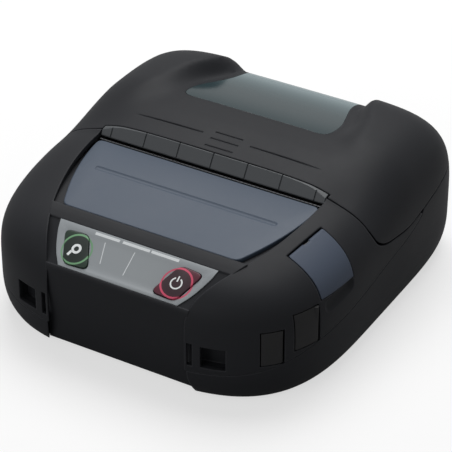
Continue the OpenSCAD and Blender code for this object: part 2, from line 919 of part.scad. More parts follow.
module tear_bar() {
    color(steel)
        difference() {
            side_prism([[-9.7, 58.95], [-10.3, 58.8], [-10.3, 54.45], [-14, 54.25],
                [-14, 53.65], [-10.1, 53.65], [-9.7, 54.05]], 112);
            // row of fine teeth along the edge
            for (i = [-27:27])
                translate([i * 2, -9.4, 59.2])
                    rotate([0, 45, 0])
                        cube([0.7, 2.4, 0.7], center = true);
        }
}

module thermal_head() {
    color([0.86, 0.84, 0.78])
        union() {
            translate([-rubber_half, -9.6, 44])
                cube([2 * rubber_half, 1, 9.2]);
            // raised glaze with the heating line
            translate([0, -8.68, platen_z])
                rotate([0, 90, 0])
                    cylinder(h = 2 * rubber_half - 4, r = 0.16, center = true, $fn = 24);
        }
}

module head_heatsink() {
    color([0.66, 0.67, 0.69])
        difference() {
            translate([-54, -12.6, 43.6])
                cube([108, 3, 9.8]);
            for (s = [-1, 1])
                translate([s * 30, -12.6, 50.4])
                    rotate([90, 0, 0])
                        cylinder(h = 1.6, r = 2.7, center = true, $fn = 48);
        }
}

module head_spring(side) {
    color(steel)
        translate([side * 30, -19.5, 50.4])
            rotate([-90, 0, 0])
                coil(2, 0.3, 5, 1.42);
}

module left_head_spring() { head_spring(-1); }
module right_head_spring() { head_spring(1); }

module head_cable() {
    color([0.85, 0.62, 0.22])
        side_prism(band(curve([[-11.2, 43.4], [-11.4, 39], [-14, 34.5], [-20, 31.4],
            [-27, 30.4], [-31, 30.3]], 4), 0.3), 38);
}

// Involute-like spur gear: straight-sided teeth on a round blank, bored for its shaft
function tooth_ring(z, m, gap) = [for (i = [0:z - 1]) each
    let (p = m * z / 2, a = 360 / z * i, w = 90 / z - gap / (m * z) * 57.3,
        ro = p + m, ri = p - 1.2 * m)
    [[ri * cos(a - w * 1.75), ri * sin(a - w * 1.75)], [p * cos(a - w), p * sin(a - w)],
        [ro * cos(a - w * 0.42), ro * sin(a - w * 0.42)],
        [ro * cos(a + w * 0.42), ro * sin(a + w * 0.42)],
        [p * cos(a + w), p * sin(a + w)], [ri * cos(a + w * 1.75), ri * sin(a + w * 1.75)]]];

// Gear whose axis runs along X from x0, with its first tooth at the angle given
module gear(z, at, x0, w, turn) {
    translate([x0, at[0], at[1]])
        rotate([90, 0, 90])
            rotate([0, 0, turn])
                linear_extrude(w)
                    polygon(tooth_ring(z, gear_m, backlash));
}

// Direction of a line of centres, and the turn that puts a gap on it
to_idler = atan2(idler_z - platen_z, idler_y - platen_y);
to_motor = atan2(motor_z - idler_z, motor_y - idler_y);

module bore_x(at, r) {
    translate([0, at[0], at[1]])
        rotate([0, 90, 0])
            cylinder(h = 200, r = r, center = true, $fn = 64);
}

module platen_gear() {
    color([0.90, 0.89, 0.84])
        difference() {
            gear(platen_teeth, [platen_y, platen_z], -67, 3, to_idler);
            bore_x([platen_y, platen_z], 2);
        }
}

module idler_gear() {
    color([0.90, 0.89, 0.84])
        difference() {
            union() {
                gear(pinion_teeth, [idler_y, idler_z], -67.8, 3.8,
                    to_idler + 180 + 180 / pinion_teeth);
                gear(idler_teeth, [idler_y, idler_z], -69.6, 1.9, to_motor);
            }
            bore_x([idler_y, idler_z], 1.05);
        }
}

module idler_pin() {
    color(steel)
        translate([-70.4, idler_y, idler_z])
            rotate([0, 90, 0])
                cylinder(h = 10, r = 1, $fn = 48);
}

module feed_motor() {
    color([0.70, 0.70, 0.72])
        translate([0, motor_y, motor_z])
            rotate([0, 90, 0])
                difference() {
                    union() {
                        translate([0, 0, -plate_in])
                            cylinder(h = 16, r = 10, $fn = 64);
                        translate([0, 0, -plate_out])
                            cylinder(h = 3, r = 3.9, $fn = 48);
                    }
                    translate([0, 0, -70])
                        cylinder(h = 24, r = 0.8, $fn = 48);
                }
}

module motor_shaft() {
    color(steel)
        translate([-70, motor_y, motor_z])
            rotate([0, 90, 0])
                cylinder(h = 22, r = 0.75, $fn = 48);
}

module motor_pinion() {
    color([0.80, 0.68, 0.35])
        difference() {
            gear(pinion_teeth, [motor_y, motor_z], -69.8, 2.3,
                to_motor + 180 + 180 / pinion_teeth);
            bore_x([motor_y, motor_z], 0.75);
        }
}

module platen_shaft() {
    color(steel)
        translate([0, platen_y, platen_z])
            rotate([0, 90, 0])
                union() {
                    translate([0, 0, -63.9])
                        cylinder(h = 129.9, r = 2.5, $fn = 64);
                    translate([0, 0, -67.4])
                        cylinder(h = 4, r = 2, $fn = 64);
                }
}

module platen_rubber() {
    color(rubber_black)
        translate([0, platen_y, platen_z])
            rotate([0, 90, 0])
                difference() {
                    cylinder(h = 2 * rubber_half, r = platen_r, center = true, $fn = 96);
                    cylinder(h = 2 * rubber_half + 2, r = 2.5, center = true, $fn = 64);
                }
}

module platen_bush(side) {
    color([0.85, 0.84, 0.80])
        translate([0, platen_y, platen_z])
            rotate([0, side * 90, 0])
                difference() {
                    translate([0, 0, 57])
                        cylinder(h = 5.4, r = bush_r, $fn = 64);
                    cylinder(h = 80, r = 2.56, $fn = 64);
                }
}

module left_platen_bush() { platen_bush(-1); }
module right_platen_bush() { platen_bush(1); }

// Latch

module latch_shaft() {
    color(steel)
        translate([-64.2, latch_y, latch_z])
            rotate([0, 90, 0])
                cylinder(h = 131, r = 1.5, $fn = 48);
}

module hook() {
    linear_extrude(1)
        difference() {
            polygon(soft([[latch_y - 3.2, latch_z - 3.4], [latch_y + 3.2, latch_z - 3.4],
                [latch_y + 4.4, latch_z + 3], [-8.2, 49.4], [-5.95, 52.6],
                [-7.4, 54.5], [-11.5, 53.9], [latch_y - 3, latch_z + 4]], 0.7, 3));
            translate([latch_y, latch_z])
                circle(r = 1.5, $fn = 48);
        }
}

module left_hook() {
    color(steel)
        translate([-63.7, 0, 0])
            rotate([90, 0, 90])
                hook();
}

module right_hook() {
    color(steel)
        translate([62.7, 0, 0])
            rotate([90, 0, 90])
                hook();
}

// Crank on the right end of the latch shaft, whose finger the open lever pushes
module latch_crank() {
    color(dark_plastic)
        difference() {
            union() {
                translate([64.6, 0, 0])
                    rotate([90, 0, 90])
                        linear_extrude(2)
                            polygon(soft([[latch_y + 3.2, latch_z - 3.2],
                                [latch_y + 3.2, latch_z + 3.2], [latch_y - 4, latch_z + 4.6],
                                [-31, 51.4], [-31, 49], [latch_y - 3, latch_z - 3.2]], 0.9, 3));
                translate([57, -30.9, 49.2])
                    cube([8.2, 2.5, 2.1]);
            }
            bore_x([latch_y, latch_z], 1.5);
        }
}

// Paper bay

tray_wall = 1.8;
tray_in = 60.2;
tray_out = 61.8;

module knuckle(x0, x1) {
    translate([x0, hinge_y, hinge_z])
        rotate([0, 90, 0])
            cylinder(h = x1 - x0, r = 2.6, $fn = 64);
}

tray_side = curve([[9.3, 45], [9.2, 37], [12, 26], [20, 15], [30, 9], [40, 7.2], [50, 9],
    [60, 15], [68, 26], [70.9, 37]], 3);

module roll_tray() {
    color(dark_plastic)
        difference() {
            union() {
                // trough, its end walls, and the shelf that carries the hinge
                intersection() {
                    difference() {
                        translate([0, tray_y, tray_z])
                            rotate([0, 90, 0])
                                cylinder(h = 2 * tray_out, r = tray_r + tray_wall,
                                    center = true, $fn = 96);
                        translate([0, tray_y, tray_z])
                            rotate([0, 90, 0])
                                cylinder(h = 2 * tray_out + 2, r = tray_r, center = true,
                                    $fn = 96);
                    }
                    translate([-70, 0, 0])
                        cube([140, 100, 41]);
                }
                for (s = [-1, 1])
                    translate([s * (tray_in + tray_out) / 2, 0, 0])
                        side_prism(concat([[8.2, 41], [9.2, 36]],
                            [for (a = [190:10:350]) [tray_y + (tray_r + 1) * cos(a),
                                tray_z + (tray_r + 1) * sin(a)]],
                            [[70, 37], [79, 40.6], [79, 43.4], [8.2, 43.4]]),
                            tray_out - tray_in);
                side_prism([[69.3, 38], [70.4, 36.4], [81.4, 40.2], [81.4, 42.95],
                    [83.8, 42.95], [83.8, 43.8], [80.6, 43.8], [79.4, 42.4]], 2 * tray_out);
                for (x = [[-58, -44.4], [-15, 15], [44.4, 58]])
                    knuckle(x[0], x[1]);
                // four posts for the case screws
                for (i = [2, 3])
                    translate([screw_places[i][0], screw_places[i][1], 8.2])
                        cylinder(h = 20, r = 3.4, $fn = 32);
                for (s = [-1, 1]) {
                    translate([s > 0 ? 61 : -68.4, 9.4, 26])
                        cube([7.4, 2, 10]);
                    translate([s > 0 ? 66 : -73, -9.4, 22])
                        cube([7, 20.8, 6.2]);
                }
            }
            // room for the cover knuckles
            for (x = [-44.4, 15])
                translate([x, hinge_y, hinge_z])
                    rotate([0, 90, 0])
                        cylinder(h = 29.4, r = 3, $fn = 64);
            translate([0, hinge_y, hinge_z])
                rotate([0, 90, 0])
                    cylinder(h = 140, r = 1, center = true, $fn = 48);
            for (i = [2, 3])
                translate([screw_places[i][0], screw_places[i][1], 6])
                    cylinder(h = 14, r = 1.25, $fn = 32);
        }
}

module paper_sensor() {
    color([0.12, 0.12, 0.13])
        union() {
            translate([-5, 3.4, 36.5])
                cube([10, 4.4, 6]);
            translate([-3, 4.6, 42.5])
                cube([2, 2, 1.6]);
            translate([1, 4.6, 42.5])
                cube([2, 2, 1.6]);
        }
}

module hinge_pin() {
    color(steel)
        translate([0, hinge_y, hinge_z])
            rotate([0, 90, 0])
                cylinder(h = 116.4, r = 1, center = true, $fn = 48);
}

// Frame inside the cover: it carries the platen in front and the hinge behind

module cover_liner() {
    color(dark_plastic)
        difference() {
            union() {
                for (s = [-1, 1])
                    translate([s * 58.25, 0, 0])
                        side_prism(soft([[-7.4, 45.6], [1.8, 45.2], [22, 47], [60, 47.4],
                            [79.6, 46.4], [81.2, 47.2], [78.5, 50.4], [66, 55], [24, 60],
                            [4, 60.4], [-6.4, 56], [-7.4, 51]], 0.8, 2), 2.5);
                translate([-57.4, 3, 56.4])
                    cube([114.8, 10, 3.6]);
                translate([-57.4, -4.2, 56.4])
                    cube([114.8, 7.6, 2]);
                translate([-57.4, 76, 47])
                    cube([114.8, 4.8, 2.6]);
                for (x = [[-44.2, -15.2], [15.2, 44.2]]) {
                    knuckle(x[0], x[1]);
                    translate([x[0], hinge_y - 4.6, hinge_z + 0.8])
                        cube([x[1] - x[0], 3.2, 1.6]);
                }
            }
            translate([0, hinge_y, hinge_z])
                rotate([0, 90, 0])
                    cylinder(h = 140, r = 1.05, center = true, $fn = 48);
            // room for the case knuckles
            for (x = [[-60.5, -44.2], [-15.2, 15.2], [44.2, 60.5]])
                translate([x[0], hinge_y, hinge_z])
                    rotate([0, 90, 0])
                        cylinder(h = x[1] - x[0], r = 2.9, $fn = 64);
            bore_x([platen_y, platen_z], bush_r);
        }
}

// Feet and screws

module foot(i) {
    color(rubber_black)
        translate([foot_places[i][0], foot_places[i][1], 0])
            rotate_extrude($fn = 64)
                polygon([[0, 0], [5.4, 0], [6, 0.6], [6, foot_h + 0.9], [0, foot_h + 0.9]]);
}

module front_left_foot() { foot(0); }
module front_right_foot() { foot(1); }
module rear_left_foot() { foot(2); }
module rear_right_foot() { foot(3); }

module case_screw(i) {
    color(steel)
        translate([screw_places[i][0], screw_places[i][1], foot_h])
            difference() {
                union() {
                    translate([0, 0, 1.3])
                        cylinder(h = 1.7, r = 2.75, $fn = 48);
                    translate([0, 0, 2.9])
                        cylinder(h = 11, r = 1.2, $fn = 32);
                }
                for (a = [0, 90])
                    rotate([0, 0, a])
                        translate([-1.6, -0.3, 1.2])
                            cube([3.2, 0.6, 1]);
            }
}

module front_left_screw() { case_screw(0); }
module front_right_screw() { case_screw(1); }
module middle_left_screw() { case_screw(2); }
module middle_right_screw() { case_screw(3); }
module rear_left_screw() { case_screw(4); }
module rear_right_screw() { case_screw(5); }

lower_case();
upper_case();
front_panel();
keypad_label();
feed_key();
power_key();
key_board();
feed_switch();
power_switch();
open_lever();
lever_pin();
lever_spring();
interface_flap();
power_flap();
interface_socket();
power_jack();
main_board();
battery_contacts();
battery_pack();
battery_latch();
mechanism_frame();
tear_bar();
thermal_head();
head_heatsink();
left_head_spring();
right_head_spring();
head_cable();
feed_motor();
motor_shaft();
motor_pinion();
idler_pin();
idler_gear();
platen_shaft();
platen_rubber();
platen_gear();
left_platen_bush();
right_platen_bush();
latch_shaft();
left_hook();
right_hook();
latch_crank();
roll_tray();
paper_sensor();
hinge_pin();
paper_cover();
cover_window();
comb_strip();
cover_liner();
front_left_foot();
front_right_foot();
rear_left_foot();
rear_right_foot();
front_left_screw();
front_right_screw();
middle_left_screw();
middle_right_screw();
rear_left_screw();
rear_right_screw();
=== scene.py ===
import json
import math

import bmesh
import bpy
from mathutils import Matrix, Vector


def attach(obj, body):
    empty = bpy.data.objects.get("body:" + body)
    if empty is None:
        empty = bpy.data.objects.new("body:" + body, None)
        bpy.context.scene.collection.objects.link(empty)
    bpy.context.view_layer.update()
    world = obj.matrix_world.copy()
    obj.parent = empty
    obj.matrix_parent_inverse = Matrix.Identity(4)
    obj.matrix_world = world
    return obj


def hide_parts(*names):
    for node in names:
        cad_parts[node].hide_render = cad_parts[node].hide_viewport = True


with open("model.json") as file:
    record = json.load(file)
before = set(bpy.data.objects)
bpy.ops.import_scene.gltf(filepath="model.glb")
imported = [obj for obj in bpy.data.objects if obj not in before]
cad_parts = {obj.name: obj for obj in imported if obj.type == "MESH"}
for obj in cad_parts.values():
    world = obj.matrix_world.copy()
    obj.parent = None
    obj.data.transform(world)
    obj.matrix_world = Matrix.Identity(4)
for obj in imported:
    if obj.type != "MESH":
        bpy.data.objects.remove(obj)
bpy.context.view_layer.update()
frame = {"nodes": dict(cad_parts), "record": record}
scene = bpy.context.scene
metre = 0.001  # shapes below are drawn in millimetres
print("frame loaded")

# Camera, floor and light

viewOf = {
    "turn": 30.374,      # degrees round the printer from its front
    "height": 33.391,    # degrees above the floor
    "distance": 0.99131,
    "aim": (0.0, 0.00563, 0.02158),
    "lens": 175.22,
    "sensor": 36.0,
    "nearest": 0.05,
    "farthest": 20,
}


def placeCamera(v):
    turn, rise = math.radians(v["turn"]), math.radians(v["height"])
    away = Vector((math.sin(turn) * math.cos(rise), -math.cos(turn) * math.cos(rise),
                   math.sin(rise)))
    data = bpy.data.cameras.new("camera")
    data.lens, data.sensor_width = v["lens"], v["sensor"]
    data.clip_start, data.clip_end = v["nearest"], v["farthest"]
    camera = bpy.data.objects.new("camera", data)
    scene.collection.objects.link(camera)
    camera.location = Vector(v["aim"]) + away * v["distance"]
    camera.rotation_euler = (math.pi / 2 - rise, 0, turn)
    scene.camera = camera


placeCamera(viewOf)
scene.view_settings.view_transform = "Standard"


# Shader helper: an expression on sockets adds its Math nodes

class Wire:
    def __init__(self, net, socket):
        self.net, self.socket = net, socket

    def combine(self, how, *others):
        return self.net.node("ShaderNodeMath", {"operation": how}, [self, *others])

    def __add__(self, other):
        return self.combine("ADD", other)

    def __radd__(self, other):
        return self.combine("ADD", other)

    def __sub__(self, other):
        return self.combine("SUBTRACT", other)

    def __rsub__(self, other):
        return self.net.node("ShaderNodeMath", {"operation": "SUBTRACT"}, [other, self])

    def __mul__(self, other):
        return self.combine("MULTIPLY", other)

    def __rmul__(self, other):
        return self.combine("MULTIPLY", other)

    def __truediv__(self, other):
        return self.combine("DIVIDE", other)

    def __pow__(self, other):
        return self.combine("POWER", other)

    def below(self, edge, soft):
        # 1 well under the edge, 0 well over it
        return ((edge - self) / soft + 0.5).clamp()

    def clamp(self):
        return self.net.node("ShaderNodeClamp", {}, [self])

    def size(self):
        return self.combine("ABSOLUTE")


# Nodes of one material, or of the world

class Net:
    def __init__(self, owner):
        self.owner = owner if isinstance(owner, bpy.types.World) else bpy.data.materials.new(owner)
        self.owner.use_nodes = True
        self.tree = self.owner.node_tree
        self.tree.nodes.clear()
        self.place = None

    def node(self, kind, settings, inputs, out=0):
        n = self.tree.nodes.new(kind)
        for key, value in settings.items():
            setattr(n, key, value)
        pairs = inputs.items() if isinstance(inputs, dict) else enumerate(inputs)
        for key, value in pairs:
            if isinstance(value, Wire):
                self.tree.links.new(value.socket, n.inputs[key])
            elif value is not None:
                n.inputs[key].default_value = value
        if isinstance(out, tuple):
            return [Wire(self, n.outputs[key]) for key in out]
        return Wire(self, n.outputs[out]) if len(n.outputs) else None

    def at(self):
        if self.place is None:
            self.place = self.node("ShaderNodeTexCoord", {}, {}, "Object")
        return self.place

    def axes(self):
        return self.node("ShaderNodeSeparateXYZ", {}, [self.at()], ("X", "Y", "Z"))

    def noise(self, scale, detail=3.0, rough=0.55, stretch=None):
        where = self.at()
        if stretch:
            where = self.node("ShaderNodeVectorMath", {"operation": "MULTIPLY"},
                              [where, stretch])
        return self.node("ShaderNodeTexNoise", {},
                         {"Vector": where, "Scale": scale, "Detail": detail,
                          "Roughness": rough})

    def blend(self, mask, a, b):
        def four(c):
            return c if isinstance(c, Wire) else (*c, 1)
        return self.node("ShaderNodeMix", {"data_type": "RGBA"},
                         {0: mask, 6: four(a), 7: four(b)}, 2)

    def rounded(self, radius):
        return self.node("ShaderNodeBevel", {"samples": 6}, {"Radius": radius})

    def bump(self, height, strength, distance, normal=None):
        return self.node("ShaderNodeBump", {},
                         {"Height": height, "Strength": strength, "Distance": distance,
                          "Normal": normal})

    def edge(self, radius):
        # 1 where the surface turns within the radius, with the normal rounded there
        near = self.rounded(radius)
        true = self.node("ShaderNodeNewGeometry", {}, {}, "True Normal")
        same = self.node("ShaderNodeVectorMath", {"operation": "DOT_PRODUCT"},
                         [near, true], "Value")
        contrast = 3.0
        return ((1 - same) * contrast).clamp(), near

    def finish(self, inputs):
        shader = self.node("ShaderNodeBsdfPrincipled", {}, inputs)
        self.node("ShaderNodeOutputMaterial", {}, {"Surface": shader})
        return self.owner


def linear(r, g, b):
    return tuple(((c / 255 + 0.055) / 1.055) ** 2.4 if c > 10 else c / 255 / 12.92
                 for c in (r, g, b))


studio = {
    "floorTone": (0.30, 0.30, 0.30),   # what the printer's sides are lit by
    "floorPale": (0.96, 0.96, 0.96),   # what the camera sees
    "floorGlow": 0.62,     # share of the floor that the camera sees as plain white
    "floorSheen": 0.12,    # how much of that shiny surfaces see
    "sky": 0.26,           # light from all round
    "glossSky": 0.55,      # what shiny surfaces see
    "keyPower": 17.5,
    "keyAt": (-0.25, 0.60, 1.25),
    "keySize": 1.0,
    "fillPower": 4.6,
    "fillAt": (-0.5, -1.35, 0.62),
    "fillSize": 1.0,
    "lampsAim": (0, 0, 0.03),
    "floorReach": 6,       # half its width, in metres
    "floorDrop": 0.0002,   # keeps it clear of the feet's soles
}


def lightRays(net):
    return net.node("ShaderNodeLightPath", {}, {},
                    ("Is Camera Ray", "Is Glossy Ray", "Is Transmission Ray"))


def makeFloor(s):
    bm = bmesh.new()
    bmesh.ops.create_grid(bm, x_segments=1, y_segments=1, size=s["floorReach"])
    bmesh.ops.translate(bm, vec=(0, 0, -s["floorDrop"]), verts=bm.verts)
    mesh = bpy.data.meshes.new("floor")
    bm.to_mesh(mesh)
    bm.free()
    floor = bpy.data.objects.new("floor", mesh)
    scene.collection.objects.link(floor)
    net = Net("palePaper")
    camera, glossy, through = lightRays(net)
    seen = (camera + through + glossy * s["floorSheen"]).clamp()
    tone = net.blend(seen, s["floorTone"], s["floorPale"])
    base = net.node("ShaderNodeBsdfDiffuse", {}, {"Color": tone})
    glow = net.node("ShaderNodeEmission", {}, {"Color": (1, 1, 1, 1), "Strength": 1.0})
    both = net.node("ShaderNodeMixShader", {}, [seen * s["floorGlow"], base, glow])
    net.node("ShaderNodeOutputMaterial", {}, {"Surface": both})
    mesh.materials.append(net.owner)


def makeWorld(s):
    world = bpy.data.worlds.new("studio")
    scene.world = world
    net = Net(world)
    camera, glossy, through = lightRays(net)
    strength = s["sky"] + camera * (1 - s["sky"])
    strength = strength + (glossy + through).clamp() * (s["glossSky"] - s["sky"])
    air = net.node("ShaderNodeBackground", {}, {"Color": (1, 1, 1, 1), "Strength": strength})
    net.node("ShaderNodeOutputWorld", {}, {"Surface": air})


def softLamp(name, at, power, size):
    data = bpy.data.lights.new(name, "AREA")
    data.energy, data.size = power, size
    lamp = bpy.data.objects.new(name, data)
    scene.collection.objects.link(lamp)
    lamp.location = at
    way = Vector(studio["lampsAim"]) - Vector(at)
    lamp.rotation_euler = way.to_track_quat("-Z", "Y").to_euler()


makeFloor(studio)
makeWorld(studio)
softLamp("keyLamp", studio["keyAt"], studio["keyPower"], studio["keySize"])
softLamp("fillLamp", studio["fillAt"], studio["fillPower"], studio["fillSize"])
print("camera, floor and light placed")

# Form of the body, in millimetres

body = {
    "halfWidth": 82.5, "halfDepth": 88.0, "belt": 20.5, "foot": 0.8, "wall": 2.4,
    "frontRound": 3.5, "rearRound": 6.5, "sideRound": 4.4, "undercut": 0.05, "crown": 0.4,
}
skinOf = {
    "steps": 1500, "run": 80.0, "rise": 40.0, "crowd": 0.7,
    "outerRows": 120, "innerRows": 64,
    "outerRings": (0.86, 0.72, 0.58, 0.44, 0.32, 0.22, 0.13, 0.06, 0.03, 0.012, 0),
    "innerRings": (0.6, 0.3, 0),
    "footShare": 0.03, "footRound": 0.004,
}
seams = {"cover": 0.8, "case": 0.34, "loose": 0.4, "flap": 0.58}
hinge = {"y": 83.6, "z": 45.8}
below, beyond = -5, 100  # under the body, and past it on every side


def ease(t):
    t = min(1, max(0, t))
    return t * t * (3 - 2 * t)


def ramp(v, a, b):
    return ease((v - a) / (b - a))


def ridgeTop(y):
    return 58.5 + 4.5 * ramp(y, -62, -8) + 9.5 * ramp(y, -12, 34) - 1.5 * ramp(y, 62, 88)


def hollowTop(y):
    return 65.3 + 2.9 * ramp(y, -8, 18) - 4.5 * ramp(y, 26, 62) + 2 * ramp(y, 62, 85)


def roof(x, y):
    # a hollow between two shoulders: it ends at foot, and the shoulder is full from crest on
    foot = 46 - 7 * ramp(y, 0, 35) - 7 * ramp(y, 40, 76)
    crest = 66 - 14 * ramp(y, 5, 45) - 12 * ramp(y, 38, 76)
    low = (1 - ramp(abs(x), foot, crest)) * ramp(y, -10, -6)
    sag = body["crown"] * (x / body["halfWidth"]) ** 2 * (1 + y / (2 * body["halfDepth"]))
    return ridgeTop(y) + (hollowTop(y) - ridgeTop(y)) * low - sag


def curve(points, steps):
    # smooth line through a few points
    out = []
    for i in range(len(points) - 1):
        a, b = points[max(0, i - 1)], points[i]
        c, d = points[i + 1], points[min(len(points) - 1, i + 2)]
        for k in range(steps):
            t = k / steps
            out.append(tuple(0.5 * (2 * q + (r - p) * t + (2 * p - 5 * q + 4 * r - s) * t * t
                                    + (3 * q - p - 3 * r + s) * t ** 3)
                             for p, q, r, s in zip(a, b, c, d)))
    return out + [points[-1]]


def softCorners(points, reach, steps=4):
    out = []
    for i, p in enumerate(points):
        p = Vector(p)
        a, b = Vector(points[i - 1]), Vector(points[(i + 1) % len(points)])
        u, v = p + (a - p).normalized() * reach, p + (b - p).normalized() * reach
        for k in range(steps + 1):
            s = k / steps
            out.append(tuple((1 - s) ** 2 * u + 2 * s * (1 - s) * p + s * s * v))
    return out


def mirrored(points):
    return list(points) + [(-x, y) for x, y in reversed(points)]


def moved(points, dy, dz):
    return [(y + dy, z + dz) for y, z in points]


# Solid of the body's skin, drawn in by inset

def evenSteps(m):
    # the way walked from the top's middle over the crown and down the side, and the plan's
    # share reached there
    v = skinOf
    table, length, last = [(0.0, 0.0)], 0.0, (0.0, v["rise"])
    for i in range(1, v["steps"] + 1):
        q = math.sin(math.pi / 2 * i / v["steps"]) ** v["crowd"]
        point = (v["run"] * q, v["rise"] * (1 - q ** m) ** (1 / m) if q < 1 else 0.0)
        length += math.dist(point, last)
        last = point
        table.append((length, q))
    return table


def reachAt(table, want):
    low, high = 0, len(table) - 1
    while high - low > 1:
        mid = (low + high) // 2
        low, high = (mid, high) if table[mid][0] < want else (low, mid)
    (s0, q0), (s1, q1) = table[low], table[high]
    return q0 + (q1 - q0) * min(1, (want - s0) / (s1 - s0))


def skinBody(inset, count, levels, base):
    a, b = body["halfWidth"] - inset, body["halfDepth"] - inset
    belt, m = body["belt"], body["sideRound"]
    table = evenSteps(m)
    length = table[-1][0]
    bm = bmesh.new()
    bmesh.ops.create_grid(bm, x_segments=count, y_segments=count, size=1)
    for v in bm.verts:
        u, w = v.co.x, v.co.y
        c = max(abs(u), abs(w))
        if c < 1e-9:
            v.co = (0, 0, roof(0, 0) - inset)
            continue
        q = reachAt(table, c * length)
        n = body["frontRound"] if w < 0 else body["rearRound"]
        du, dw = u / c, w / c
        k = q * (abs(du) ** n + abs(dw) ** n) ** (-1 / n)
        x, y = a * k * du, b * k * dw
        rise = max(0.0, 1 - q ** m) ** (1 / m)
        v.co = (x, y, belt + (roof(x, y) - inset - belt) * rise)
    rim = [e for e in bm.edges if e.is_boundary]
    before = 1.0
    for f in levels:
        z = base + (belt - base) * f
        now = 1 - body["undercut"] * ((belt - z) / belt) ** 3
        if f < skinOf["footShare"] and inset == 0:
            now -= skinOf["footRound"] * (1 - f / skinOf["footShare"])
        made = bmesh.ops.extrude_edge_only(bm, edges=rim)["geom"]
        for v in made:
            if isinstance(v, bmesh.types.BMVert):
                v.co = (v.co.x * now / before, v.co.y * now / before, z)
        rim = [e for e in made if isinstance(e, bmesh.types.BMEdge) and e.is_boundary]
        before = now
    bmesh.ops.edgeloop_fill(bm, edges=rim)
    bmesh.ops.recalc_face_normals(bm, faces=bm.faces)
    return bm


def outerSkin():
    return skinBody(0, skinOf["outerRows"], skinOf["outerRings"], body["foot"])


def innerSkin(inset=body["wall"]):
    return skinBody(inset, skinOf["innerRows"], skinOf["innerRings"], body["foot"] + body["wall"])


# Solids that cut or join the skins

def scratch(bm, name="scratch"):
    mesh = bpy.data.meshes.new(name)
    bm.to_mesh(mesh)
    bm.free()
    made = bpy.data.objects.new(name, mesh)
    scene.collection.objects.link(made)
    return made


def onlyVerts(geom):
    return [v for v in geom if isinstance(v, bmesh.types.BMVert)]


def prism(points, way, low=-beyond, high=beyond):
    # way "side" takes (y, z) and runs along x; way "plan" takes (x, y) and runs up z
    bm = bmesh.new()
    if way == "side":
        ring = [bm.verts.new((low, p[0], p[1])) for p in points]
        step = (high - low, 0, 0)
    else:
        ring = [bm.verts.new((p[0], p[1], low)) for p in points]
        step = (0, 0, high - low)
    face = bm.faces.new(ring)
    made = bmesh.ops.extrude_face_region(bm, geom=[face])["geom"]
    bmesh.ops.translate(bm, vec=step, verts=onlyVerts(made))
    bmesh.ops.recalc_face_normals(bm, faces=bm.faces)
    return bm


def facingPrism(points, low=-beyond, high=beyond):
    # takes (x, z) and runs along -y: a side prism turned a quarter about z
    bm = prism(points, "side", low, high)
    bmesh.ops.rotate(bm, matrix=Matrix.Rotation(-math.pi / 2, 3, "Z"), cent=(0, 0, 0),
                     verts=bm.verts)
    return bm


def box(low, high, place=None):
    bm = bmesh.new()
    bmesh.ops.create_cube(bm, size=1)
    low, high = Vector(low), Vector(high)
    bmesh.ops.scale(bm, vec=high - low, verts=bm.verts)
    bmesh.ops.translate(bm, vec=(low + high) / 2, verts=bm.verts)
    if place is not None:
        bmesh.ops.transform(bm, matrix=place, verts=bm.verts)
        bmesh.ops.recalc_face_normals(bm, faces=bm.faces)
    return bm


def rod(start, end, radius, sides=64):
    start, end = Vector(start), Vector(end)
    bm = bmesh.new()
    bmesh.ops.create_cone(bm, cap_ends=True, segments=sides, radius1=radius, radius2=radius,
                          depth=(end - start).length)
    turn = (end - start).to_track_quat("Z", "Y").to_matrix().to_4x4()
    bmesh.ops.transform(bm, matrix=Matrix.Translation((start + end) / 2) @ turn, verts=bm.verts)
    return bm


def carve(target, tool, how="DIFFERENCE"):
    cutter = tool if isinstance(tool, bpy.types.Object) else scratch(tool, "cutter")
    step = target.modifiers.new("carve", "BOOLEAN")
    step.operation, step.solver, step.object = how, "EXACT", cutter
    graph = bpy.context.evaluated_depsgraph_get()
    mesh = bpy.data.meshes.new_from_object(target.evaluated_get(graph))
    target.modifiers.clear()
    old, target.data = target.data, mesh
    bpy.data.meshes.remove(old)
    bpy.data.objects.remove(cutter, do_unlink=True)
    return target


def dropTwins(bm):
    # two triangles back to back on the same corners are a stray flake beside a cut
    pairs = {}
    for f in bm.faces:
        pairs.setdefault(frozenset(f.verts), []).append(f)
    twins = [f for pair in pairs.values() if len(pair) > 1 for f in pair]
    bmesh.ops.delete(bm, geom=twins, context="FACES")


def settle(piece, name, sharp=32.0, toMetres=True):
    # join loose points, make triangles, shade smooth up to the sharp angle, bring to metres
    near = 0.0005 if toMetres else 5e-7
    bm = bmesh.new()
    bm.from_mesh(piece.data)
    bmesh.ops.remove_doubles(bm, verts=bm.verts, dist=near)
    bmesh.ops.dissolve_degenerate(bm, edges=bm.edges, dist=near)
    bmesh.ops.triangulate(bm, faces=bm.faces)
    dropTwins(bm)
    for f in bm.faces:
        f.smooth = True
    for e in bm.edges:
        e.smooth = len(e.link_faces) == 2 and e.calc_face_angle(math.pi) < math.radians(sharp)
    if toMetres:
        bmesh.ops.scale(bm, vec=(metre, metre, metre), verts=bm.verts)
    bm.to_mesh(piece.data)
    bm.free()
    piece.name = piece.data.name = name
    return piece


def show(piece, finish, rides, stands=()):
    piece.data.materials.clear()
    piece.data.materials.append(finish)
    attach(piece, rides)
    if stands:
        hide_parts(*stands)
    return piece


# Finishes

# the worn colour on the edges is partly real edge wear and partly a painted highlight along the
# rounded rims
casingOf = {
    "tone": linear(38, 39, 42), "wearAndHighlight": linear(84, 85, 90), "rough": 0.50, "specular": 0.11,
    "grain": 2600.0, "grainDepth": 0.00006, "bump": 0.35, "edge": 0.0009,
    "clouds": 22.0, "scuffs": 260.0, "scuffStretch": (1.0, 1.0, 2.2), "wear": 0.6,
}


def toned(tone, share):
    return tuple(c * share for c in tone)


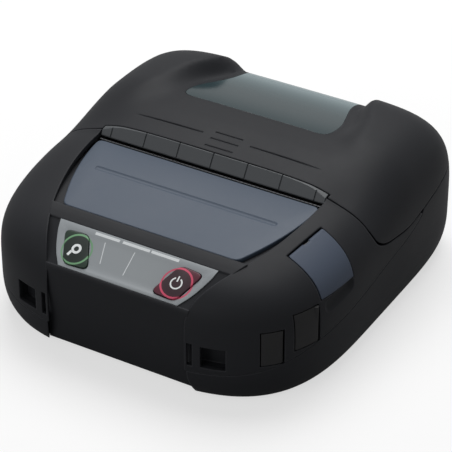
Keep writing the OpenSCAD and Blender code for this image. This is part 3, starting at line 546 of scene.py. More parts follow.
def plastic(name, v):
    net = Net(name)
    wearAndHighlight, near = net.edge(v["edge"])
    broad = net.noise(v["clouds"])
    fine = net.noise(v["grain"], 2.0, 0.6)
    scuff = net.noise(v["scuffs"], 4.0, 0.6, v["scuffStretch"])
    shade = net.blend((broad - 0.4).clamp() * 0.5, v["tone"], toned(v["tone"], 1.25))
    # edges take the worn colour: real wear there, and a painted highlight where the rims would catch
    # light
    edgeWearAndHighlight = wearAndHighlight * (scuff + 0.25).clamp() * v["wear"]
    return net.finish({
        "Base Color": net.blend(edgeWearAndHighlight, shade, v["wearAndHighlight"]),
        "Roughness": v["rough"] + (broad - 0.5) * 0.14 + (scuff - 0.5) * 0.06,
        "Specular IOR Level": v["specular"],
        "Normal": net.bump(fine, v["bump"], v["grainDepth"], near),
    })


casing = plastic("casingPlastic", casingOf)
darkPlastic = plastic("darkPlastic", {**casingOf, "tone": linear(40, 40, 43), "rough": 0.55})
stripPlastic = plastic("stripPlastic", {**casingOf, "tone": linear(70, 73, 76),
                                        "wearAndHighlight": linear(74, 77, 80), "rough": 0.45,
                                        "specular": 0.3, "edge": 0.0004})
gearPlastic = plastic("gearPlastic", {**casingOf, "tone": linear(206, 200, 186),
                                      "wearAndHighlight": linear(225, 220, 208), "edge": 0.0002,
                                      "rough": 0.42, "grainDepth": 0.00002})
panelPlastic = plastic("panelPlastic", {**casingOf, "tone": linear(63, 74, 89),
                                        "wearAndHighlight": linear(122, 132, 144), "rough": 0.52,
                                        "specular": 0.34, "grain": 3200.0,
                                        "grainDepth": 0.00004, "edge": 0.0007})
leverPlastic = plastic("leverPlastic", {**casingOf, "tone": linear(76, 84, 98),
                                        "wearAndHighlight": linear(112, 120, 134), "rough": 0.5,
                                        "grain": 3200.0, "grainDepth": 0.00004,
                                        "edge": 0.0007})
softRubber = plastic("softRubber", {**casingOf, "tone": linear(38, 38, 39),
                                    "wearAndHighlight": linear(58, 58, 60), "rough": 0.66,
                                    "specular": 0.26, "edge": 0.0005})


metalOf = {"lines": 900.0, "spots": 60.0, "lineBump": 0.15, "lineDepth": 0.00001,
           "edge": 0.00015}


def metal(name, tone, rough, stretch):
    net = Net(name)
    lines = net.noise(metalOf["lines"], 3.0, 0.6, stretch)
    spots = net.noise(metalOf["spots"])
    near = net.rounded(metalOf["edge"])
    return net.finish({
        "Base Color": net.blend((spots - 0.35).clamp(), tone, toned(tone, 0.8)),
        "Metallic": 1.0,
        "Roughness": rough + (lines - 0.5) * 0.2,
        "Normal": net.bump(lines, metalOf["lineBump"], metalOf["lineDepth"], near),
    })


blackSteel = metal("blackSteel", (0.035, 0.036, 0.038), 0.42, (0.04, 1.0, 1.0))
springSteel = metal("springSteel", (0.30, 0.30, 0.31), 0.32, (1.0, 1.0, 1.0))
brightSteel = metal("brightSteel", (0.62, 0.62, 0.63), 0.24, (0.04, 1.0, 1.0))
sheetSteel = metal("sheetSteel", (0.55, 0.56, 0.56), 0.36, (1.0, 0.2, 1.0))
heatsinkAlloy = metal("heatsinkAlloy", (0.66, 0.66, 0.67), 0.4, (0.05, 1.0, 1.0))
goldContacts = metal("goldContacts", (0.80, 0.58, 0.26), 0.28, (1.0, 0.2, 1.0))


boardOf = {
    "traces": 260.0, "traceWidth": 0.06, "stains": 80.0,
    "green": (0.012, 0.085, 0.035), "traceGreen": (0.05, 0.2, 0.085), "stain": (0.01, 0.05, 0.02),
}


def boardFinish(v):
    # green lacquer with paler traces
    net = Net("circuitBoard")
    trace = net.node("ShaderNodeTexBrick", {"offset": 0.35},
                     {"Vector": net.at(), "Color1": (0, 0, 0, 1), "Color2": (0.1, 0.1, 0.1, 1),
                      "Mortar": (1, 1, 1, 1), "Scale": v["traces"],
                      "Mortar Size": v["traceWidth"], "Brick Width": 0.9, "Row Height": 0.35},
                     "Fac")
    stain = net.noise(v["stains"])
    tone = net.blend(trace * 0.5, v["green"], v["traceGreen"])
    return net.finish({"Base Color": net.blend(stain * 0.3, tone, v["stain"]),
                       "Roughness": 0.3 + stain * 0.15, "Coat Weight": 0.4,
                       "Normal": net.bump(trace, 0.2, 0.00003)})


circuitBoard = boardFinish(boardOf)


def plainFinish(name, tone, rough, grain=1800.0, depth=0.00002):
    net = Net(name)
    fine = net.noise(grain, 2.0)
    broad = net.noise(40.0, 2.0)
    return net.finish({"Base Color": net.blend(broad * 0.5, tone, toned(tone, 0.8)),
                       "Roughness": rough + (broad - 0.5) * 0.12,
                       "Normal": net.bump(fine, 0.2, depth, net.rounded(metalOf["edge"]))})


headCeramic = plainFinish("headCeramic", (0.62, 0.60, 0.55), 0.35)
cableFilm = plainFinish("cableFilm", (0.46, 0.22, 0.05), 0.32, 300.0)

# the pale tone is a painted reflection, laid over the rear of the pane
smokeOf = {
    "dark": (0.014, 0.032, 0.038), "hazy": (0.024, 0.046, 0.052), "pale": (0.28, 0.36, 0.38),
    "paintedReflectionFrom": 38, "paintedReflectionReach": 40,  # millimetres along the pane
    "rough": 0.13, "haze": 18.0,
}


def windowFinish(v):
    net = Net("smokedWindow")
    haze = net.noise(v["haze"])
    fine = net.noise(500.0, 2.0)
    y = net.axes()[1] / metre
    # painted reflection: the pane's colour turns pale towards its rear edge
    back = ((y - v["paintedReflectionFrom"]) / v["paintedReflectionReach"]).clamp()
    smoke = net.blend(haze * 0.6, v["dark"], v["hazy"])
    return net.finish({
        "Base Color": net.blend(back ** 3.0, smoke, v["pale"]),
        "Roughness": v["rough"] + haze * 0.06,
        "IOR": 1.49, "Specular IOR Level": 0.5,
        "Normal": net.bump(fine, 0.03, 0.00001, net.rounded(0.0002)),
    })


smokedWindow = windowFinish(smokeOf)

# Label and keys: the printed rings are centred on the keys, in the plane of the slope

slopeOf = {"y": -66.9, "z": 53.9, "tilt": 30.9}
ringOf = {
    "x": 24.7, "up": -11.4, "radius": 6.85, "width": 0.85, "soft": 0.15,
    "shadeIn": 0.2, "shadeSoft": 2.4,  # the key's darker middle
    "feed": linear(112, 158, 118), "power": linear(205, 78, 106),
}


def slopeAxes(net):
    # millimetres across the slope, and up it from the label's upper edge
    x, y, z = (axis / metre for axis in net.axes())
    t = math.radians(slopeOf["tilt"])
    return x, (y - slopeOf["y"]) * math.cos(t) + (z - slopeOf["z"]) * math.sin(t)


def fromKey(x, up, side):
    dx, dy = x - side * ringOf["x"], up - ringOf["up"]
    return (dx * dx + dy * dy) ** 0.5


def ringMask(x, up, side):
    edge = (fromKey(x, up, side) - ringOf["radius"]).size()
    return edge.below(ringOf["width"] / 2, ringOf["soft"])


labelTones = {"low": linear(141, 146, 150), "high": linear(155, 160, 163), "rings": 0.9}


def labelFinish(v):
    net = Net("labelFilm")
    x, up = slopeAxes(net)
    weave = net.noise(1500.0, 2.0)
    cloud = net.noise(30.0, 3.0)
    near = net.rounded(0.0003)
    tone = net.blend(cloud * 0.7, v["low"], v["high"])
    tone = net.blend(ringMask(x, up, -1) * v["rings"], tone, ringOf["feed"])
    tone = net.blend(ringMask(x, up, 1) * v["rings"], tone, ringOf["power"])
    return net.finish({"Base Color": tone, "Roughness": 0.40 + cloud * 0.12,
                       "Specular IOR Level": 0.4,
                       "Normal": net.bump(weave, 0.2, 0.00002, near)})


def keyFinish(name, side, outer, inner, ring):
    # the key is darker inside its printed ring
    net = Net(name)
    x, up = slopeAxes(net)
    inside = fromKey(x, up, side).below(ringOf["radius"] - ringOf["shadeIn"], ringOf["shadeSoft"])
    fine = net.noise(2200.0, 2.0)
    tone = net.blend(inside, outer, inner)
    tone = net.blend(ringMask(x, up, side), tone, ring)
    return net.finish({"Base Color": tone, "Roughness": 0.36 + net.noise(60.0) * 0.12,
                       "Specular IOR Level": 0.4,
                       "Normal": net.bump(fine, 0.2, 0.00002, net.rounded(0.0004))})


labelFilm = labelFinish(labelTones)
feedKeyPlastic = keyFinish("feedKeyPlastic", -1, linear(26, 46, 34), linear(22, 33, 28),
                           ringOf["feed"])
powerKeyPlastic = keyFinish("powerKeyPlastic", 1, linear(82, 27, 43), linear(48, 26, 34),
                            ringOf["power"])
print("finishes made")

# Outer shells

tongueOf = {"start": -9.0, "depth": 77.0, "half": 57.0, "narrow": 23.0, "power": 2.2,
            "rows": (-6, -9, *range(-12, -87, -2), -100), "front": (-79.1, below), "top": (10, 54.6)}
coverLine = curve([(-6.5, 90), (-6.5, 56), (-6.3, 50.5), (-4, 45.2), (1.5, 41.8), (10, 40),
                   (23, 38.4), (38, 40), (53, 42.3), (67, 44.2), (80, 45.7), (100, 46.4)], 10)
partingLine = curve([(-100, 9.5), (-80, 15.5), (-65, 20), (-50, 23.7), (-30, 26.5),
                     (-14, 28.8), (2, 31), (21, 33.2), (33, 36.2)], 8)
deckBack = [(-79, 1.8), (-80.2, 8), (-81.6, 18), (-82.8, 30), (-83.1, 39.2),
            (-82.4, 40.9), (-65.6, 50.9), (-62.5, 51.4), (-10.4, 54.6)]


def tongueHalf(y):
    t = min(1, max(0, (tongueOf["start"] - y) / tongueOf["depth"]))
    return tongueOf["half"] - tongueOf["narrow"] * t ** tongueOf["power"]


def tonguePlan(grow):
    return mirrored([(tongueHalf(y) + grow, y) for y in tongueOf["rows"]])


def tongueRoom(side, down):
    # the room of the front deck in the case, wider by side and lower by down
    (frontY, frontZ), (topY, topZ), ahead = tongueOf["front"], tongueOf["top"], -120
    room = scratch(prism(tonguePlan(side), "plan", below))
    lower = [(frontY + down, frontZ)] + moved(deckBack, down, -down)
    upper = [(topY, topZ - down), (topY, beyond), (ahead, beyond), (ahead, below)]
    return carve(room, prism(lower + upper, "side"), "INTERSECT")


def coverSide(d):
    return moved(coverLine, d, d) + [(beyond + d, beyond), (coverLine[0][0] + d, beyond)]


meetingOf = {"low": (37, 37.9), "high": (36.5, 38.2)}  # where the parting line meets the cover's


def lowSide(d):
    low = meetingOf["low"]
    rear = [p for p in coverLine if p[0] > low[0] + 0.2]
    return ([(-beyond, below)] + moved(partingLine, 0, -d) + [low]
            + moved(rear, 0, -seams["cover"] / 2) + [(beyond, below)])


def highSide(d):
    gap, high = seams["cover"] / 2, meetingOf["high"]
    return ([(-beyond, beyond)] + moved(partingLine, 0, d) + [high]
            + [(y - gap, z - gap) for y, z in reversed(coverLine) if y < high[0] - 0.5])


windowOf = {
    "half": 37.6, "front": 29.6, "waist": 43, "narrow": 29.3, "narrowFrom": 68, "rear": 81.2,
    "round": 6, "gap": 0.16, "floor": 45.8, "thick": 1.8,
}
groovesOf = {
    "y": 6.0, "depth": 0.3, "width": 0.9, "length": 35.5, "x": 12, "lean": 1.2,
    "shortAt": (-0.9, 4.1, 8.5), "shortHalf": 7, "shortWidth": 0.8, "cutter": 5,
}
coverOf = {"stripSeat": ((-57.3, -10, 50), (57.3, -3.8, 80)), "pinHalf": 61, "pinRoom": 3.0,
           "windowFloor": 46}


def windowPlan(w):
    right = [(w["half"], w["front"]), (w["half"], w["waist"]), (w["narrow"], w["narrowFrom"]),
             (w["narrow"], w["rear"])]
    left = [(-x, y) for x, y in reversed(right)]
    return softCorners(left[-1:] + right + left[:-1], w["round"], 8)


def cutGrooves(shell, g):
    # one long groove broken in the middle, and three short ones
    top = hollowTop(g["y"]) - g["depth"]
    for s in (-1, 1):
        lean = Matrix.Translation((s * g["x"], g["y"], top)) @ Matrix.Rotation(
            math.radians(g["lean"] * s), 4, "Y")
        low, high = (0, g["length"]) if s > 0 else (-g["length"], 0)
        carve(shell, box((low, -g["width"] / 2, 0), (high, g["width"] / 2, g["cutter"]), lean))
    for y in g["shortAt"]:
        z, half = hollowTop(y) - g["depth"], g["shortWidth"] / 2
        carve(shell, box((-g["shortHalf"], y - half, z), (g["shortHalf"], y + half, z + g["cutter"])))


def hingeRod(half, radius):
    return rod((-half, hinge["y"], hinge["z"]), (half, hinge["y"], hinge["z"]), radius)


def makeCover():
    shell = scratch(outerSkin())
    carve(shell, prism(coverSide(seams["cover"] / 2), "side"), "INTERSECT")
    carve(shell, innerSkin())
    carve(shell, box(*coverOf["stripSeat"]))
    carve(shell, hingeRod(coverOf["pinHalf"], coverOf["pinRoom"]))
    carve(shell, prism(windowPlan(windowOf), "plan", coverOf["windowFloor"]))
    cutGrooves(shell, groovesOf)
    show(settle(shell, "coverShell"), casing, "cover", ["paper_cover"])


def makeWindow(w):
    pane = scratch(outerSkin())
    middle, reach = (w["front"] + w["rear"]) / 2, 26
    plan = [(x * (1 - w["gap"] / w["half"]), middle + (y - middle) * (1 - w["gap"] / reach))
            for x, y in windowPlan(w)]
    carve(pane, prism(plan, "plan", w["floor"]), "INTERSECT")
    carve(pane, innerSkin(w["thick"]))
    show(settle(pane, "windowPane"), smokedWindow, "cover", ["cover_window"])


makeCover()
makeWindow(windowOf)
print("cover and window shaped")

leverOf = {
    "front": (60.6, -45.2, 54.3), "rear": (64.4, -23.6, 56.85), "roll": 1.25, "wall": 2.2,
    "spring": (9.2, 13.0), "springGap": 0.05, "pin": 0.64, "rollGap": 0.7, "endGap": 0.4,
    "innerEdge": ((59.6, -45.6), (63.4, -23.4)), "outerEdge": ((84, -27.4), (84, -49.6)),
    "room": (30, 70), "lowEdge": 41.9, "lowEdgeFrom": 76, "shoulder": (60, 50),
    "relief": ((-10, 0, -5), (10, 10, 35)), "reliefTurn": 16,
    "toe": [(64, 56.2), (62.6, 55.5), (61.3, 54.35), (57.2, 53), (57.2, 52.2), (58.4, 52.2),
            (62.6, 53.8), (64.6, 54.7)],
    "toeAt": (28.0, 31.4),
}
leverFront, leverRear = Vector(leverOf["front"]), Vector(leverOf["rear"])
leverLength = (leverRear - leverFront).length
leverWay = (leverRear - leverFront) / leverLength


def alongLever(z):
    return leverFront + leverWay * z


def leverRoom(gap):
    v = leverOf
    (x0, y0), (x1, y1) = v["innerEdge"]
    (x2, y2), (x3, y3) = v["outerEdge"]
    room = scratch(prism([(x0 - gap, y0 - gap), (x1 - gap, y1 + gap), (x2, y2 + gap),
                          (x3, y3 - 2.5 * gap)], "plan", *v["room"]))
    (x, z), low, top = v["shoulder"], v["lowEdge"] - gap, v["room"][1]
    facing = [(50, top), (90, top), (90, low), (v["lowEdgeFrom"], low), (x, z), (50, z)]
    return carve(room, facingPrism(facing), "INTERSECT")


flapsOf = {
    "interface": {"at": (76.1, -57.6), "turn": -22, "w": 12.8, "z": (24, 40.6), "edge": 0,
                  "plug": (33.4, 2.2)},
    "power": {"at": (67.6, -71.9), "turn": -43, "w": 9.6, "z": (19.8, 35.6), "edge": -0.05,
              "plug": (32.5, 1.8)},
}
flapRoll, flapWall = 1.15, 2.3
flapDepth = (-5.5, 5)    # into the wall and out of it
plugDepth = (-3.9, -1.3)


def wallPlace(at, turn):
    return Matrix.Translation((at[0], at[1], 0)) @ Matrix.Rotation(math.radians(turn), 4, "Z")


def flapRoom(v, gap, trim=0):
    w, (inwards, outwards), (low, high) = v["w"], flapDepth, v["z"]
    return box((inwards, -w / 2 - gap, low - gap), (outwards, w / 2 + gap - trim, high + gap),
               wallPlace(v["at"], v["turn"]))


eyeletOf = {
    "x": 43.5, "y": -85.2, "turn": 13, "pocket": ((-10.2, -1, 15), (10.2, 7.4, 29.6)),
    "cuts": (((-2.6, -10, 17), (8.4, 4, 27.6)), ((-8.6, -10, 16.8), (-6.1, 4, 28)),
             ((-8.8, 2.4, 16.6), (8.8, 6.2, 28.2))),
}


def eyeletPlace(side):
    return (Matrix.Translation((side * eyeletOf["x"], eyeletOf["y"], 0))
            @ Matrix.Rotation(math.radians(side * eyeletOf["turn"]), 4, "Z")
            @ Matrix.Diagonal((side, 1, 1, 1)))


def ball(at, radius):
    bm = bmesh.new()
    made = bmesh.ops.create_uvsphere(bm, u_segments=64, v_segments=40, radius=radius)
    bmesh.ops.translate(bm, vec=at, verts=made["verts"])
    return bm


scoopOf = {"front": (83.1, -45, 38.2), "rear": (84.4, -31, 40.2), "radius": 5}


def cutScoop(shell, v):
    # finger room under the lower edge of the lever
    a, b, radius = v["front"], v["rear"], v["radius"]
    for cutter in (rod(a, b, radius), ball(a, radius), ball(b, radius)):
        carve(shell, cutter)


deckLine = ([(-10.4, 56.82), (-59.5, 53.67), (-59.5, 55.75)]
            + curve([(-60.2, 55.75), (-63, 55.15), (-65.4, 54.4), (-66.9, 53.9)], 3)
            + [(-66.64, 53.47), (-84.34, 42.88)]
            + curve([(-84.6, 43.3), (-85.05, 42.75), (-85.4, 41.9), (-85.58, 40.6), (-85.5, 36),
                     (-85.2, 30), (-84, 18), (-82.6, 8), (-81.4, 1.8)], 4))
keyOf = {
    "shape": [(34.2, -4.2), (22.6, -3.4), (15.6, -18.2), (27.6, -18.9)],
    "centre": (25, -11.2), "reach": 8, "round": 3.2, "hole": 0.3, "holeDepth": (-8, 4),
    "body": (-4.4, 0.7), "edge": 0.34, "flange": 1.1, "flangeAt": (-4.3, -3.35), "sharp": 35,
}
deckOf = {"side": 0.6, "under": 0.25}  # how far the deck and the cheeks lap there


def slopePlace():
    return (Matrix.Translation((0, slopeOf["y"], slopeOf["z"]))
            @ Matrix.Rotation(math.radians(slopeOf["tilt"]), 4, "X"))


def keyOutline(side, grow):
    (cx, cy), larger = keyOf["centre"], 1 + grow / keyOf["reach"]
    corners = [(cx + (x - cx) * larger, cy + (y - cy) * larger) for x, y in keyOf["shape"]]
    return [(side * x, y) for x, y in softCorners(corners, keyOf["round"], 8)]


def onSlope(bm):
    bmesh.ops.transform(bm, matrix=slopePlace(), verts=bm.verts)
    bmesh.ops.recalc_face_normals(bm, faces=bm.faces)
    return bm


def makeUpperCase():
    inner = scratch(innerSkin())
    for s in (-1, 1):
        carve(inner, box(*eyeletOf["pocket"], eyeletPlace(s)))
    shell = scratch(outerSkin())
    carve(shell, prism(highSide(seams["case"] / 2), "side"), "INTERSECT")
    carve(shell, inner)
    carve(shell, tongueRoom(0, -deckOf["under"]))
    for s in (-1, 1):
        for low, high in eyeletOf["cuts"]:
            carve(shell, box(low, high, eyeletPlace(s)))
    carve(shell, leverRoom(seams["loose"]))
    gap = leverOf["endGap"]
    carve(shell, rod(alongLever(-gap), alongLever(leverLength + gap),
                     leverOf["roll"] + leverOf["rollGap"]))
    cutScoop(shell, scoopOf)
    for v in flapsOf.values():
        carve(shell, flapRoom(v, seams["flap"]))
    show(settle(shell, "upperCase"), casing, "printer", ["upper_case"])


def makeFrontDeck():
    deck = scratch(prism(deckLine + deckBack, "side"))
    carve(deck, prism(tonguePlan(deckOf["side"]), "plan", below), "INTERSECT")
    for s in (-1, 1):
        carve(deck, onSlope(prism(keyOutline(s, keyOf["hole"]), "plan", *keyOf["holeDepth"])))
    show(settle(deck, "frontDeck"), casing, "printer")


bayOf = {"half": 38.6, "front": -62.6, "rear": -1.4, "top": 23.0, "wall": 1.6}
baseOf = {
    "contactSlot": ((-11, -40, -1), (11, -32, 4)),  # from the bay's roof
    "latchHalf": 6.6, "latchFront": -14, "latchRear": -4, "latchTop": 7,
    "tongueHalf": 6, "tongueFront": -4.5, "tongueRear": 1, "tongueHeight": 2.1,
    "hingeHalf": 64.5, "hingeFront": 3.4, "hingeRear": 16.6, "hingeBelow": 3.5, "hingeAbove": 9,
    "hingeRoom": 3.2, "footRoom": 6.1, "footDepth": 0.9,
    "boss": 4.4, "bossTop": 7, "screwHead": 3.2, "headDepth": 3, "screwHole": 1.7,
    "holeTop": 11,
}
screwPlaces = [(-50, -66), (50, -66), (-71, -8), (71, -8), (-66, 70), (66, 70)]
footPlaces = [(-56, -56), (56, -56), (-64, 56), (64, 56)]


def makeLowerCase(v, bay):
    foot, wall, side, under = body["foot"], body["wall"], bay["wall"], -1
    floor = foot + wall
    inner = scratch(innerSkin())
    carve(inner, box((-bay["half"] - side, bay["front"] - side, foot),
                     (bay["half"] + side, bay["rear"] + side, bay["top"] + side)))
    for x, y in screwPlaces:
        carve(inner, rod((x, y, foot), (x, y, foot + v["bossTop"]), v["boss"], 48))
    shell = scratch(outerSkin())
    carve(shell, prism(lowSide(seams["case"] / 2), "side"), "INTERSECT")
    carve(shell, inner)
    carve(shell, box((-bay["half"], bay["front"], under), (bay["half"], bay["rear"], bay["top"])))
    roofed = Matrix.Translation((0, 0, bay["top"]))
    carve(shell, box(*(roofed @ Vector(corner) for corner in v["contactSlot"])))
    carve(shell, tongueRoom(deckOf["side"] + seams["case"], seams["case"]))
    carve(shell, box((-v["latchHalf"], bay["front"] + v["latchFront"], under),
                     (v["latchHalf"], bay["front"] + v["latchRear"], v["latchTop"])))
    carve(shell, box((-v["tongueHalf"], bay["front"] + v["tongueFront"], floor),
                     (v["tongueHalf"], bay["front"] + v["tongueRear"], floor + v["tongueHeight"])))
    # the open cover's shoulders swing down into this gap
    half, y, z = v["hingeHalf"], hinge["y"], hinge["z"]
    carve(shell, box((-half, y - v["hingeFront"], z - v["hingeBelow"]),
                     (half, y + v["hingeRear"], z + v["hingeAbove"])))
    carve(shell, hingeRod(half, v["hingeRoom"]))
    for x, y in footPlaces:
        carve(shell, rod((x, y, under), (x, y, foot + v["footDepth"]), v["footRoom"]))
    for x, y in screwPlaces:
        carve(shell, rod((x, y, under), (x, y, foot + v["headDepth"]), v["screwHead"]))
        carve(shell, rod((x, y, under), (x, y, v["holeTop"]), v["screwHole"], 32))
    show(settle(shell, "lowerCase"), casing, "printer", ["lower_case"])


makeUpperCase()
makeFrontDeck()
makeLowerCase(baseOf, bayOf)
print("case shaped")


def makeLever(v):
    patch = scratch(outerSkin())
    carve(patch, leverRoom(0), "INTERSECT")
    carve(patch, innerSkin(v["wall"]))
    way = leverWay
    spin = (Matrix.Translation(leverFront) @ Matrix.Rotation(math.atan2(way.y, way.x), 4, "Z")
            @ Matrix.Rotation(math.acos(way.z), 4, "Y"))
    relief = spin @ Matrix.Rotation(math.radians(v["reliefTurn"]), 4, "Z")
    carve(patch, box(*v["relief"], relief))
    carve(patch, rod(alongLever(0), alongLever(leverLength), v["roll"]), "UNION")
    coil = [alongLever(z) for z in v["spring"]]
    carve(patch, rod(*coil, v["roll"] + v["springGap"]))
    carve(patch, facingPrism(v["toe"], *v["toeAt"]), "UNION")
    carve(patch, rod(alongLever(-2), alongLever(leverLength + 2), v["pin"], 32))
    show(settle(patch, "openLever"), leverPlastic, "lever", ["open_lever"])


def makeFlap(v, name, rides, node):
    patch = scratch(outerSkin())
    carve(patch, flapRoom(v, 0, flapRoll), "INTERSECT")
    carve(patch, innerSkin(flapWall))
    place = wallPlace(v["at"], v["turn"])
    x, y = v["edge"] - flapRoll, v["w"] / 2 - flapRoll
    carve(patch, rod(*(place @ Vector((x, y, z)) for z in v["z"]), flapRoll), "UNION")
    z, radius = v["plug"]
    carve(patch, rod(*(place @ Vector((x, 0, z)) for x in plugDepth), radius), "UNION")
    show(settle(patch, name), softRubber, rides, [node])


makeLever(leverOf)
makeFlap(flapsOf["interface"], "interfaceFlap", "interface_door", "interface_flap")
makeFlap(flapsOf["power"], "powerFlap", "power_door", "power_flap")
print("lever and flaps shaped")


def rounder(bm, edges, width, segments=4):
    bmesh.ops.bevel(bm, geom=edges, offset=width, offset_type="OFFSET", affect="EDGES",
                    segments=segments, profile=0.5, material=-1, clamp_overlap=True)


def topEdges(bm, z):
    return [e for e in bm.edges if all(abs(v.co.z - z) < 1e-6 for v in e.verts)]


panelOf = {
    "rows": (-10.6, -14, -18, -23, -29, -35, -41, -47, -53, -59.2),
    "half": 56, "narrow": 12.8, "start": -11, "depth": 48, "power": 1.8, "front": 59.2,
    "thick": 1.98, "corner": 3, "edge": 0.55, "at": (0, -59.2, 55.72), "tilt": 3.67,
    "sharp": 20,
    "grooveHalf": 46, "grooveY": 29.5, "grooveZ": 1.7, "grooveRadius": 2.2, "grooveEnd": 1.4,
}


def panelPlan(v):
    def half(y):
        t = min(1, max(0, (v["start"] - y) / v["depth"]))
        return v["half"] - v["narrow"] * t ** v["power"]
    plan = mirrored([(half(y), y + v["front"]) for y in v["rows"]])
    count, steps = len(v["rows"]), 8
    rounded = softCorners(plan, v["corner"], steps)
    each = steps + 1
    out = []
    for i, p in enumerate(plan):
        corner = i in (0, count - 1, count, len(plan) - 1)
        out += rounded[each * i:each * (i + 1)] if corner else [p]
    return out


def makePanel(v):
    # blue-grey panel with a long soft hollow across it
    bm = prism(panelPlan(v), "plan", -v["thick"], 0)
    rounder(bm, topEdges(bm, 0), v["edge"])
    panel = scratch(bm)
    half, y, z = v["grooveHalf"], v["grooveY"], v["grooveZ"]
    hollow = rod((-half, y, z), (half, y, z), v["grooveRadius"], 96)
    ends = [e for e in hollow.edges if all(abs(abs(w.co.x) - half) < 1e-4 for w in e.verts)
            and e.verts[0].co.x * e.verts[1].co.x > 0]
    rounder(hollow, ends, v["grooveEnd"], 6)
    carve(panel, hollow)
    panel.data.transform(Matrix.Translation(v["at"])
                         @ Matrix.Rotation(math.radians(v["tilt"]), 4, "X"))
    show(settle(panel, "frontPanel", v["sharp"]), panelPlastic, "printer",
         ["front_panel"])


makePanel(panelOf)

stripOf = {
    "face": [(-4.95, 65.3), (-8.4, 59.9)], "back": (-4.55, 65.4),
    "under": [(-8.3, 59.3), (-6.6, 58.9), (-4.55, 60.9)], "half": 56.5, "sharp": 25,
    "grooves": range(-3, 4), "pitch": 17.2, "grooveHalf": 0.25, "grooveDepth": 0.45,
}


def makeStrip(v):
    # paper strip in front of the cover: a slanted face with fine grooves across it
    strip = scratch(prism([v["back"], *v["face"], *v["under"]], "side", -v["half"], v["half"]))
    carve(strip, outerSkin(), "INTERSECT")
    a, b = (Vector(p) for p in v["face"])
    way = (b - a).normalized()
    out = Vector((way.y, -way.x))
    floor, air = out * v["grooveDepth"], out * 2
    line = [a - way - floor, a - way + air, b + way + air, b + way - floor]
    for i in v["grooves"]:
        x, half = v["pitch"] * i, v["grooveHalf"]
        carve(strip, prism([tuple(p) for p in line], "side", x - half, x + half))
    show(settle(strip, "combStrip", v["sharp"]), stripPlastic, "cover",
         ["comb_strip"])


makeStrip(stripOf)

# The label keeps the CAD's shape, with its edges rounded

labelOf = {"round": 0.08, "turn": 28, "flat": 0.4, "sharp": 30}


def makeLabel(v):
    solid = frame["nodes"]["keypad_label"]
    label = solid.copy()
    label.data = solid.data.copy()
    label.parent = None
    label.matrix_world = Matrix.Identity(4)
    scene.collection.objects.link(label)
    bm = bmesh.new()
    bm.from_mesh(label.data)
    bmesh.ops.remove_doubles(bm, verts=bm.verts, dist=2e-6)
    bmesh.ops.dissolve_limit(bm, angle_limit=math.radians(v["flat"]), verts=bm.verts,
                             edges=bm.edges)
    edges = [e for e in bm.edges if len(e.link_faces) == 2
             and e.calc_face_angle(0) > math.radians(v["turn"])]
    rounder(bm, edges, v["round"] * metre, 2)
    bm.to_mesh(label.data)
    bm.free()
    show(settle(label, "keypadLabel", v["sharp"], False), labelFilm, "printer",
         ["keypad_label"])


makeLabel(labelOf)


def makeKey(side, name, rides, finish, node):
    low, top = keyOf["body"]
    bm = prism(keyOutline(side, 0), "plan", low, top)
    rounder(bm, topEdges(bm, top), keyOf["edge"])
    key = scratch(bm)
    flange = prism(keyOutline(side, keyOf["flange"]), "plan", *keyOf["flangeAt"])
    carve(key, flange, "UNION")
    key.data.transform(slopePlace())
    show(settle(key, name, keyOf["sharp"]), finish, rides, [node])


makeKey(-1, "feedKey", "feed_button", feedKeyPlastic, "feed_key")
makeKey(1, "powerKey", "power_button", powerKeyPlastic, "power_key")
print("panel, label and keys shaped")

# Marks on the keys and the label, thin films with real thickness

inkOf = {"thick": 0.035, "sunk": 0.005, "white": linear(232, 236, 236),
         "pale": linear(214, 218, 220), "wear": 900.0}


def inkFinish(name, tone):
    net = Net(name)
    wear = net.noise(inkOf["wear"])
    return net.finish({"Base Color": net.blend((wear - 0.45).clamp(), tone, toned(tone, 0.8)),
                       "Roughness": 0.42 + wear * 0.1,
                       "Normal": net.bump(wear, 0.1, 0.00001)})


whiteInk = inkFinish("whiteInk", inkOf["white"])
paleInk = inkFinish("paleInk", inkOf["pale"])


def film(bm, height, name, finish, rides):
    # a flat outline on the slope, turned face up and grown to a film
    bmesh.ops.recalc_face_normals(bm, faces=bm.faces)
    for f in bm.faces:
        if f.normal.z < 0:
            f.normal_flip()
    made = bmesh.ops.extrude_face_region(bm, geom=bm.faces[:])["geom"]
    bmesh.ops.translate(bm, vec=(0, 0, inkOf["thick"]), verts=onlyVerts(made))
    bmesh.ops.translate(bm, vec=(0, 0, height - inkOf["sunk"]), verts=bm.verts)
    show(settle(scratch(onSlope(bm)), name), finish, rides)


def arcBand(bm, cx, cy, inner, outer, start, sweep, steps):
    a = math.radians(start)
    p = [bm.verts.new((cx + r * math.cos(a), cy + r * math.sin(a), 0)) for r in (inner, outer)]
    edge = bm.edges.new(p)
    bmesh.ops.spin(bm, geom=[*p, edge], cent=(cx, cy, 0), axis=(0, 0, 1),
                   angle=math.radians(sweep), steps=steps, use_merge=sweep == 360)


def bar(bm, x0, y0, x1, y1, width):
    way = Vector((x1 - x0, y1 - y0, 0)).normalized()
    side = Vector((-way.y, way.x, 0)) * width / 2
    a, b = Vector((x0, y0, 0)), Vector((x1, y1, 0))
    bm.faces.new([bm.verts.new(p) for p in (a - side, b - side, b + side, a + side)])


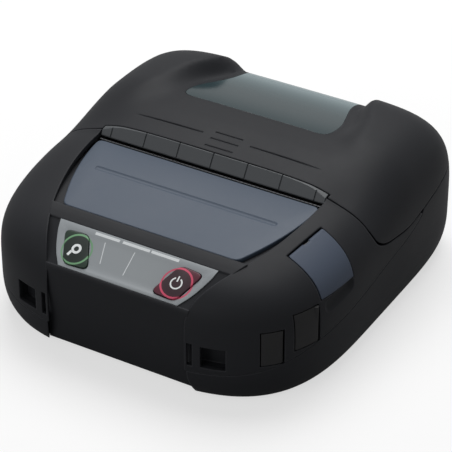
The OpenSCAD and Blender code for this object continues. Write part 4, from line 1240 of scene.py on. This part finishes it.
# places are from the ring's centre on the keys, and on the label from the middle of the
# slope's upper edge
marksOf = {
    "powerRing": (-0.1, 2.15, 2.8, 118, 304, 40), "powerStem": (0.7, 3.3, 0.65),
    "feedRing": (0.2, 1.15, 2.3, 0, 360, 36), "feedStem": (-1.7, -1.3, -2.6, -3.6, 1.2),
    "bars": ((-20.5, -8.4), (-6.8, 6.5), (7.3, 20.8)), "barsY": -1.55, "barsWidth": 1.25,
    "lines": ((-14.2, -4.2, -11.7, -14.0), (0.5, -4.2, 0.5, -15.6)), "linesWidth": 0.35,
}


def makeMarks(v):
    x, y, keyTop = ringOf["x"], ringOf["up"], keyOf["body"][1]
    bm = bmesh.new()
    low, *ring = v["powerRing"]
    arcBand(bm, x, y + low, *ring)
    low, high, width = v["powerStem"]
    bar(bm, x, y + low, x, y + high, width)
    film(bm, keyTop, "powerMark", whiteInk, "power_button")
    bm = bmesh.new()
    low, *ring = v["feedRing"]
    arcBand(bm, -x, y + low, *ring)
    x0, y0, x1, y1, width = v["feedStem"]
    bar(bm, x0 - x, y + y0, x1 - x, y + y1, width)
    film(bm, keyTop, "feedMark", whiteInk, "feed_button")
    for i, (x0, x1) in enumerate(v["bars"]):
        bm = bmesh.new()
        bar(bm, x0, v["barsY"], x1, v["barsY"], v["barsWidth"])
        film(bm, 0.0, f"labelBar{i + 1}", paleInk, "printer")
    for i, ends in enumerate(v["lines"]):
        bm = bmesh.new()
        bar(bm, *ends, v["linesWidth"])
        film(bm, 0.0, f"labelLine{i + 1}", paleInk, "printer")


makeMarks(marksOf)
print("marks made")

# Finishes of the CAD solids that keep their own shape

slotFinish = {
    "casing": casing, "dark_plastic": darkPlastic, "blue_grey_plastic": panelPlastic,
    "label_film": labelFilm, "feed_key_plastic": feedKeyPlastic,
    "power_key_plastic": powerKeyPlastic, "circuit_board": circuitBoard,
    "bright_steel": brightSteel, "sheet_steel": sheetSteel, "gold_contacts": goldContacts,
    "head_ceramic": headCeramic, "heatsink_alloy": heatsinkAlloy, "cable_film": cableFilm,
    "gear_plastic": gearPlastic, "soft_rubber": softRubber, "smoked_window": smokedWindow,
}
ownFinish = {"tear_bar": blackSteel, "lever_spring": springSteel, "lever_pin": springSteel,
             "left_head_spring": springSteel, "right_head_spring": springSteel}
for part in frame["record"]["subparts"]:
    solid = frame["nodes"][part["node"]]
    for place in solid.material_slots:
        place.material = ownFinish.get(part["node"], slotFinish[part["material_slot"]])
print("solids finished")
